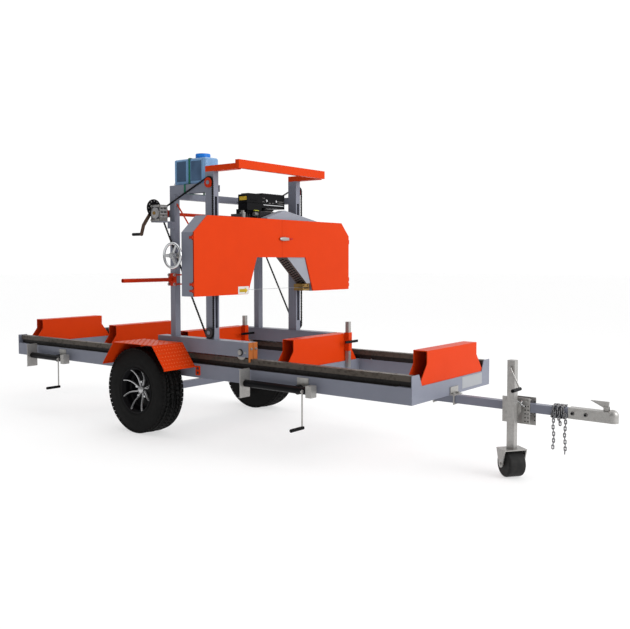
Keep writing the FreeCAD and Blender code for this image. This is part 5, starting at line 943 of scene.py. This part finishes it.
def dress_doors() -> None:
    """Put in the flattened latch body with its red tip, and the plate with its plain arrow."""
    latch = Builder().lathe(LATCH, Y, LATCH_PROFILE, 40)
    middle = at(*LATCH).x
    for vertex in latch.bm.verts:
        vertex.co.x = middle + (vertex.co.x - middle) * LATCH_FLATTEN
    piece("latch_body", latch, ZINC, "door_catch", "chrome")
    tip = Builder().rod((-1479, 168, 1414), (-1477, 208, 1416), 4.5, 24, 6.5)
    piece("latch_tip", tip, RED, "door_catch", "cast_silver", 0.6)
    block("arrow_plate", WHITE, "near_door", "orange_paint",
          (DOOR_FRONT - 0.4, DOOR_FRONT + 0.8, -371, -262, 1017.5, 1072))
    y, z = ARROW_MIDDLE
    arrow = Builder().plate([(DOOR_FRONT + 0.6, y + dy, z + dz) for dy, dz in ARROW], Vector((0.0008, 0, 0)))
    piece("arrow", arrow, YELLOW, "near_door", "orange_paint")


# Tank, winch and handwheel

TANK_NEAR = -430.0
STRAP_X, STRAP_HALF, STRAP_THICK = -1908.0, 9.0, 0.0014
STRAP_ROUTE = [(-294.0, 1991.2), (-433.0, 1991.2), (-433.0, 1803.0), (-478.6, 1799.0), (-478.6, 1733.0),
               (-288.4, 1733.0), (-288.4, 1799.0), (-294.0, 1803.0)]


def dress_tank(repeater: Repeater) -> None:
    """Put in the strap round the tank and its tray, the tank's panels and the ribs of its cap."""
    strap = Builder()
    strap.skin([strap.points(at(STRAP_X + side * STRAP_HALF, y, z) for y, z in STRAP_ROUTE)
                for side in SIDES])
    obj = piece("tank_strap", strap, STRAP, "carriage", "tank_blue")
    thick = obj.modifiers.new("thick", "SOLIDIFY")
    thick.thickness = STRAP_THICK
    thick.offset = 0.0
    y = TANK_NEAR
    # The near face's panels are painted in shade blue.
    block("tank_panels", TANK_SHADE, "carriage", "tank_blue", (-2044, -1946, y - 0.8, y + 2, 1826, 1972),
          (-1893, -1786, y - 0.8, y + 2, 1826, 1968), bevel=0.7)
    edges = [(x0, x1, y - 2.2, y + 2, 1812, 1984)
             for x0, x1 in ((-2062, -2052), (-1772, -1762), (-1940, -1926))]
    block("tank_edges", TANK, "carriage", "tank_blue", *edges, bevel=1.8)
    places = [place((-1838 + 51.2 * math.cos(a), -363.5 + 51.2 * math.sin(a), 2004.5), Z)
              for a in circle(30)]
    repeater.spread("cap_ribs", disc(-12.5, 12.5, 2.2, 10), CAP, "cap", "cap_blue", places)


GEARBOX = (-2110.0, -580.0, 1597.0)


def dress_winch(repeater: Repeater) -> None:
    """Put in the ribs, recesses, bolts and centre of the gearbox, and the marks of the index disc."""
    x, y, z = GEARBOX
    cover = Builder()
    cover.rod(GEARBOX, (x, y - 6, z), 40, 48).rod((x, y - 5, z), (x, y - 12, z), 27, 40)
    for angle in circle(8, 0.2):
        c, s = math.cos(angle), math.sin(angle)
        cover.rod((x + 20 * c, y - 4, z + 20 * s), (x + 44 * c, y - 2, z + 44 * s), 3.5, 8)
    for side in SIDES:
        cover.box(x - 46, x + 46, y - 3, y + 1, z + side * 50 - 4, z + side * 50 + 4)
    for high in (-30, -6, 20, 46):
        cover.box(x + 47, x + 52, y + 4, y + 68, z + high, z + high + 5)
    piece("gearbox_cover", cover, SILVER, "carriage", "cast_silver", 0.8)
    # The sunk panel and the round pockets are thin dark iron marks that paint the shade inside the gearbox's
    # recesses.
    sunk = Builder().box(x - 40, x + 42, y - 0.8, y + 1, z - 44, z + 44)
    for deep, high in ((18, 30), (48, 32), (20, 4), (50, 6), (34, -22)):
        sunk.rod((x + 47, y + deep, z + high), (x + 48.8, y + deep, z + high), 9.5, 24)
    piece("gearbox_recesses", sunk, IRON, "carriage", "cast_silver", 0.2)
    centre = Builder().rod((x, y - 11.5, z), (x, y - 18, z), 13, 6)
    piece("gearbox_centre", centre, BRASS, "carriage", "brass", 0.6)
    bolts = [place((x + dx * 38, y - 3, z + dz * 50), -Y) for dx in SIDES for dz in SIDES]
    repeater.spread("gearbox_bolts", hex_bolt(12, 7), ZINC, "carriage", "zinc", bolts)
    marks = [place((-2168.5, -543 + 52 * math.cos(a), 1637 + 52 * math.sin(a)), X) for a in circle(12)]
    repeater.spread("disc_studs", disc(-4.3, 4.3, 5.0, 16), ZINC, "winch", "zinc", marks)


HANDWHEEL = (-1640.0, -840.0, 1287.0)
WEB_HALF = 4.5


def dress_handwheel() -> None:
    """Put in the flat webs on the spokes of the handwheel and the bushing behind it."""
    x, y, z = HANDWHEEL
    webs = Builder()
    for angle in circle(3, math.pi):
        along = radial(angle)
        across = Vector((-along.z, 0, along.x))
        outline = [tuple(Vector((x, y - WEB_HALF, z)) + along * r + across * w)
                   for r, w in ((12, 13), (72, 8.5), (72, -8.5), (12, -13))]
        webs.plate(outline, Vector((0, 2 * WEB_HALF / MM, 0)))
    webs.rod((x, y - 13, z), (x, y + 16, z), 20, 32, 22)
    piece("wheel_webs", webs, SILVER, "tension", "cast_silver", 1.2)


# Fenders, frame and carriage

LOZENGE_PITCH, LOZENGE_SHARE = 25.5, 0.36
FENDER_MIDDLE, FENDER_NEAR, FENDER_TOP, FENDER_END = -2120.0, 525.0, (210.0, 665.0), (338.0, 505.0)


def dress_fenders(repeater: Repeater) -> None:
    """Put raised lozenges on the level top and both slopes of both fenders."""
    lozenge = disc(-0.6, 2.4, 8.6, 12, 5.6)
    for vertex in lozenge.vertices:
        vertex.co.y *= LOZENGE_SHARE
    (top, high), (end, low) = FENDER_TOP, FENDER_END
    columns = [(FENDER_MIDDLE - top + 18.5 + LOZENGE_PITCH * column, high, Z, column) for column in range(16)]
    for way in SIDES:
        normal = Vector(((high - low) * way, 0, end - top)).normalized()
        for column in range(7):
            share = (column + 0.6) / 7.2
            columns.append((FENDER_MIDDLE + way * (top + (end - top) * share), high + (low - high) * share,
                            normal, column))
    places = [place((x, side * (FENDER_NEAR + LOZENGE_PITCH * row), z), normal,
                    math.pi / 4 if (column + row) % 2 else -math.pi / 4)
              for side in SIDES for x, z, normal, column in columns for row in range(11)]
    # The lozenges are painted lighter as their highlights.
    repeater.spread("fender_lozenges", lozenge, HIGHLIGHT_ORANGE, "trailer", "orange_paint", places)


def mirrored(xs: Iterable[float], y: float, zs: Iterable[float],
             way: Optional[Vector] = None) -> list[Matrix]:
    """Give places at equal distances on both sides, facing one way or else outward."""
    return [place((x, side * y, z), way or Y * side) for side in SIDES for x in xs for z in zs]


TRUCK_X, TRUCK_Z = (-1349, -2111), 631.3
JACK_PIN = (464, -60, 424)


def dress_trims() -> None:
    """Put in the end caps of the roof bar, the blank plate and the wing pin of the front jack."""
    caps = [(-1403.0, -1372.0, *sorted((y, y * 0.995)), 1881.0, 1937.0) for y in (-481.8, 471.8)]
    block("roof_end_caps", ORANGE, "carriage", "orange_paint", *caps)
    block("blank_plate", PLATE, "trailer", "zinc", (-0.4, 0.9, 114.0, 390.0, 441.0, 514.0))
    x, y, z = JACK_PIN
    pin = Builder().rod((x, -31, z), (x, y - 2, z), 7, 20).rod((x, y, z), (x, y - 6, z), 12, 24)
    pin.rod((x - 24, y, z + 16), (x + 26, y, z - 16), 4.5, 16)
    pin.rod((x - 12, y, z - 16), (x + 12, y, z + 16), 4.5, 16)
    piece("wing_pin", pin, CHROME, "trailer", "zinc", 0.5)


def dress_fasteners(repeater: Repeater) -> None:
    """Put in the bolts, nuts, washers and holes of the frame, jacks, coupler and carriage."""
    small, middle = hex_bolt(12, 6), hex_bolt(17, 9, 4)
    handle = [place((x, -485, z), -Y) for x in (-2075.3, -2014.7) for z in (1081, 1149)]
    wipers = [spot for y in (434, 478) for spot in mirrored([-1264.2], y, [659], X)]
    holes = [place((x, -31.2, 318 + 22 * row), -Y) for x in (482, 500) for row in range(5)]
    holes += [place((518, 24.6, 318 + 22 * row), -Y) for row in range(6)]
    for name, part, finish, body, slot, places in (
            ("rail_bolts", small, ZINC, "trailer", "zinc",
             mirrored(range(-3950, -100, 380), 436.5, [522], Z)),
            ("fender_bolts", hex_bolt(14, 7), IRON, "trailer", "zinc",
             mirrored((-2481, -1759), 505, (456, 488))),
            ("handle_nuts", middle, ZINC, "carriage", "zinc", handle),
            ("jack_nuts", hex_bolt(14, 8, 4), ZINC, "trailer", "zinc", mirrored((370, 494), 31, (356, 438))),
            ("coupler_bolts", hex_bolt(15, 10), BLACK, "trailer", "black_paint",
             mirrored((759, 833), 30, [397])),
            ("axle_nuts", hex_bolt(25, 4), ZINC, "carriage", "zinc", mirrored(TRUCK_X, 506.4, [TRUCK_Z])),
            ("axle_washers", disc(-0.5, 1.6, 24.5, 32), IRON, "carriage", "zinc",
             mirrored(TRUCK_X, 498, [TRUCK_Z])),
            ("axle_nuts_small", small, ZINC, "carriage", "zinc",
             mirrored([x + 46 for x in TRUCK_X], 498, [TRUCK_Z])),
            ("wiper_bolts", small, ZINC, "carriage", "zinc", wipers),
            # The jack plate's holes are flat discs painted as the shade inside them.
            ("jack_plate_holes", disc(-0.4, 0.5, 4.2, 20), HOLE_SHADE, "trailer", "black_paint", holes),
            ("tongue_nuts", middle, ZINC, "trailer", "zinc", mirrored((18, -124), 30.3, [423.5], Z))):
        repeater.spread(name, part, finish, body, slot, places)


# Finishes of the carried-over nodes

BIG = 9999.0
EVERYWHERE = (-BIG, BIG)


@dataclass(frozen=True)
class Patch:
    """Another finish on the faces of a node whose middles lie within limits along X, Y and Z."""

    finish: Finish
    x: Span = EVERYWHERE
    y: Span = EVERYWHERE
    z: Span = EVERYWHERE


class Look:
    """How a carried-over node is finished: mainly, with its edge radius in millimetres, and in patches."""

    def __init__(self, finish: Finish, bevel: float = 0.0, *patches: Patch) -> None:
        self.finish = finish
        self.bevel = bevel
        self.patches = patches

    def paint(self, obj: bpy.types.Object) -> None:
        """Give the object its materials, shading and edge rounding."""
        mesh = obj.data
        mesh.materials.clear()
        mesh.materials.append(material(self.finish))
        for number, patch in enumerate(self.patches, 1):
            mesh.materials.append(material(patch.finish))
            low, high = (at(*corner) for corner in zip(patch.x, patch.y, patch.z))
            for polygon in mesh.polygons:
                if all(a <= c <= b for a, c, b in zip(low, polygon.center, high)):
                    polygon.material_index = number
        smooth(obj, self.bevel)


HANDLE_PATCHES = (Patch(BLACK, y=(-BIG, -599), z=(-BIG, 300)), Patch(BLACK, y=(-599, -580), z=(180, 226)))
LOOKS = {name: Look(*look) for names, *look in (
    # The beams' top faces under the rails carry a painted shade strip for the gap beneath each rail.
    ("side_beams", GREY, 2.0, Patch(PAINTED_GAP_SHADE, (-4000, -20), (430, 500), (521.9, 522.1)),
     Patch(PAINTED_GAP_SHADE, (-4000, -20), (-500, -430), (521.9, 522.1))),
    # The rails' lower part, under their heads, is painted dark as shade.
    ("track_rails", RAIL, 1.0, Patch(PAINTED_GAP_SHADE, z=(500, 554.5))),
    ("cross_members axle_beam", GREY, 1.2),
    # The lowest faces of the front bunk are painted dark as the shadow gap beneath it.
    ("log_bunks", ORANGE, 1.2, Patch(PAINTED_GAP_SHADE, x=(-120, BIG), z=(-BIG, 530))),
    ("fenders", ORANGE, 0.8),
    ("tongue_tube", GREY, 2.0),
    ("bolt_brackets front_jack_fork", ZINC, 0.6),
    ("coupler coupler_latch stop_post_1 stop_post_2", ZINC, 0.8),
    ("safety_chains", ZINC),
    ("tyre_near tyre_far", RUBBER),
    ("rim_near rim_far", BLACK),
    ("stop_lever_1 stop_lever_2", BLACK, 0.8),
    ("front_jack_mast", ZINC, 1.0),
    ("front_jack_leg side_jack_1_leg side_jack_2_leg", ZINC, 0.5),
    ("front_jack_crank", ZINC, 0.4, Patch(BLACK, y=(-240, -141), z=(-BIG, 550))),
    ("front_jack_wheel", CASTER, 2.0),
    ("side_jack_1_tube", BLACK, 0.8, Patch(ZINC, x=(-3303.2, -3250), z=(402, 478)),
     Patch(GREY, (-3440, -3340), (-512, -501))),
    ("side_jack_2_tube", BLACK, 0.8, Patch(ZINC, x=(-713.2, -660), z=(402, 478)),
     Patch(GREY, (-860, -750), (-512, -501))),
    ("side_jack_1_crank side_jack_2_crank", ZINC, 0.3, *HANDLE_PATCHES),
    ("carriage_beams", GREY, 2.0, Patch(AMBER, (-1276.5, -1269.5)), Patch(ZINC, (-1269.5, -1200))),
    ("carriage_posts", GREY, 1.6, Patch(ORANGE, x=(-1704, -1400), z=(1874, 1920)),
     Patch(ORANGE, (-2019.5, -1700.5), (444, 460), (1255, 1675)),
     Patch(ORANGE, (-2019.5, -1700.5), (-460, -444), (1255, 1675))),
    ("roof_bar", ORANGE, 1.6),
    ("water_tank", TANK, 1.5, Patch(WHITE, x=(-BIG, -2075), z=(-BIG, 1850))),
    ("tank_cap", CAP, 0.6),
    ("winch_gearbox", CAST, 1.0, Patch(BRASS, (-2125, -2095), (-BIG, -579.5), (1582, 1612))),
    ("lift_chains", CHAIN),
    ("push_handle", DEEP_ORANGE, 0.8, Patch(ZINC, (-2004, -1900))),
    ("track_wheels_front track_wheels_rear tension_slide", ZINC, 0.4),
    ("lift_shaft top_sprockets", DEEP_ORANGE, 0.4),
    ("winch_crank", BRONZE, 0.4, Patch(BLACK, x=(-2171.9, -2100), z=(1525, BIG)),
     Patch(BLACK, (-BIG, -2180))),
    ("bottom_sprockets", IRON, 0.4),
    ("back_pan", GREY, 0.8),
    ("head_fittings", ZINC, 0.6, Patch(DEEP_ORANGE, (-1535, -1400), (-830, -780)),
     Patch(DEEP_ORANGE, (-1535, -1400), (950, 980)),
     Patch(GREY, (-1905, -1600), (-45, 375), (1410, 1430))),
    ("saw_band", BLADE),
    ("drive_belt", BELT),
    ("band_guides", BRASS, 0.6),
    ("engine_block", IRON, 1.5),
    ("engine_covers", BLACK, 1.8),
    ("belt_guard", PALE_GREY, 0.8, Patch(SLANT, (-1600, -1502), (170, 415), (1060, 1290))),
    # The near door's edge strip is painted in shade orange.
    ("door_near", ORANGE, 0.9, Patch(PAINTED_SHADE_ORANGE, y=(-BIG, -780))),
    ("door_far", ORANGE, 0.9),
    ("door_latch", ZINC, 0.3),
    ("band_wheel_near band_wheel_far", CAST, 0.8),
    ("engine_pulley", CAST, 0.5),
    ("handwheel", CHROME),
) for name in names.split()}


# Stage, light and camera

FLOOR_GLOW, FLOOR_HALF = 0.58, 60000.0
FLOOR = Finish("studio_floor", (0.42, 0.42, 0.42), (0.4, 0.4, 0.4), 0.8, 0.05, wave=Wave.PLASTIC, mix=0.3)


def set_stage() -> None:
    """Put in the pale floor, with its top 1 mm below the ground."""
    builder = Builder().box(-FLOOR_HALF, FLOOR_HALF, -FLOOR_HALF, FLOOR_HALF, -20, -1)
    floor = bpy.data.objects.new("floor", builder.mesh("floor"))
    paper = material(FLOOR)
    surface = paper.node_tree.nodes["Principled BSDF"]
    surface.inputs["Emission Color"].default_value = PURE_WHITE
    surface.inputs["Emission Strength"].default_value = FLOOR_GLOW
    floor.data.materials.append(paper)
    bpy.context.scene.collection.objects.link(floor)


@dataclass(frozen=True)
class Lamp:
    """A soft square light aimed at a point.

    Attributes:
        name: lamp name.
        source: where it is, in metres.
        target: what it is aimed at, in metres.
        size: width of its square, in metres.
        power: its power in watts.
    """

    name: str
    source: Point
    target: Point
    size: float
    power: float

    def add(self) -> None:
        """Put the lamp into the scene."""
        data = bpy.data.lights.new(self.name, "AREA")
        data.size = self.size
        data.energy = self.power
        obj = bpy.data.objects.new(self.name, data)
        obj.location = self.source
        aim = Vector(self.source) - Vector(self.target)
        obj.rotation_euler = aim.to_track_quat("Z", "Y").to_euler()
        bpy.context.scene.collection.objects.link(obj)


LAMPS = (
    Lamp("right_key", (7.0, 0.8, 3.2), (-0.2, 0.0, 0.9), 3.5, 210.0),
    Lamp("top", (-0.8, 0.0, 6.0), (-0.8, 0.0, 0.0), 5.0, 60.0),
)
SKY_BASE, SKY_DIM, SKY_LIFT = 1.04, 0.8, 0.35
EYE = (3.83287, -4.36141, 1.26)
EYE_RIGHT = (0.787100, 0.616825, -0.000430)
EYE_UP = (-0.029701, 0.038596, 0.998813)
EYE_FORWARD = (-0.616110, 0.786154, -0.048700)
LENS, SENSOR, LENS_SHIFT = 44.679, 36.0, (0.00084, -0.02659)


def set_light() -> None:
    """Set the sky, which is dimmer at the near side and brighter in front, and the lamps."""
    world = bpy.data.worlds.new("studio")
    world.use_nodes = True
    graph = Graph(world.node_tree)
    way = graph.add("TexCoord", {}, {}, "Generated")
    x, y = (graph.add("SeparateXYZ", {}, {0: way}, axis) for axis in "XY")
    glow = (y * -1.0).above(-0.05, 0.75) * -SKY_DIM + x.above(0.0, 1.0) * SKY_LIFT + SKY_BASE
    graph.fill(world.node_tree.nodes["Background"], {"Color": PURE_WHITE, "Strength": glow})
    bpy.context.scene.world = world
    for lamp in LAMPS:
        lamp.add()
    bpy.context.scene.view_settings.view_transform = "Standard"


def set_camera() -> None:
    """Set the camera where the photograph was taken from."""
    data = bpy.data.cameras.new("camera")
    data.lens = LENS
    data.sensor_width = SENSOR
    data.shift_x, data.shift_y = LENS_SHIFT
    camera = bpy.data.objects.new("camera", data)
    turn = Matrix((Vector(EYE_RIGHT), Vector(EYE_UP), -Vector(EYE_FORWARD))).transposed().to_4x4()
    camera.matrix_world = Matrix.Translation(EYE) @ turn
    bpy.context.scene.collection.objects.link(camera)
    bpy.context.scene.camera = camera


def main() -> None:
    """Build the whole scene on the frame."""
    logging.basicConfig(level=logging.INFO, format="%(message)s")
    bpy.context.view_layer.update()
    missing = sorted(set(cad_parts) - set(LOOKS))
    if missing:
        raise ValueError(f"no look for {missing}")
    for node, look in LOOKS.items():
        look.paint(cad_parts[node])
    repeater = Repeater()
    for part in (RoadWheel(-1, "near"), RoadWheel(1, "far"), LiftChains(), SafetyChains()):
        part.add(repeater)
    for dress in (dress_shield, dress_guards, dress_tank, dress_winch, dress_fenders, dress_fasteners):
        dress(repeater)
    for step in (dress_air_cleaner, dress_engine, dress_trims, dress_doors, dress_handwheel,
                 set_stage, set_light, set_camera):
        step()


if __name__ == "__main__":
    main()
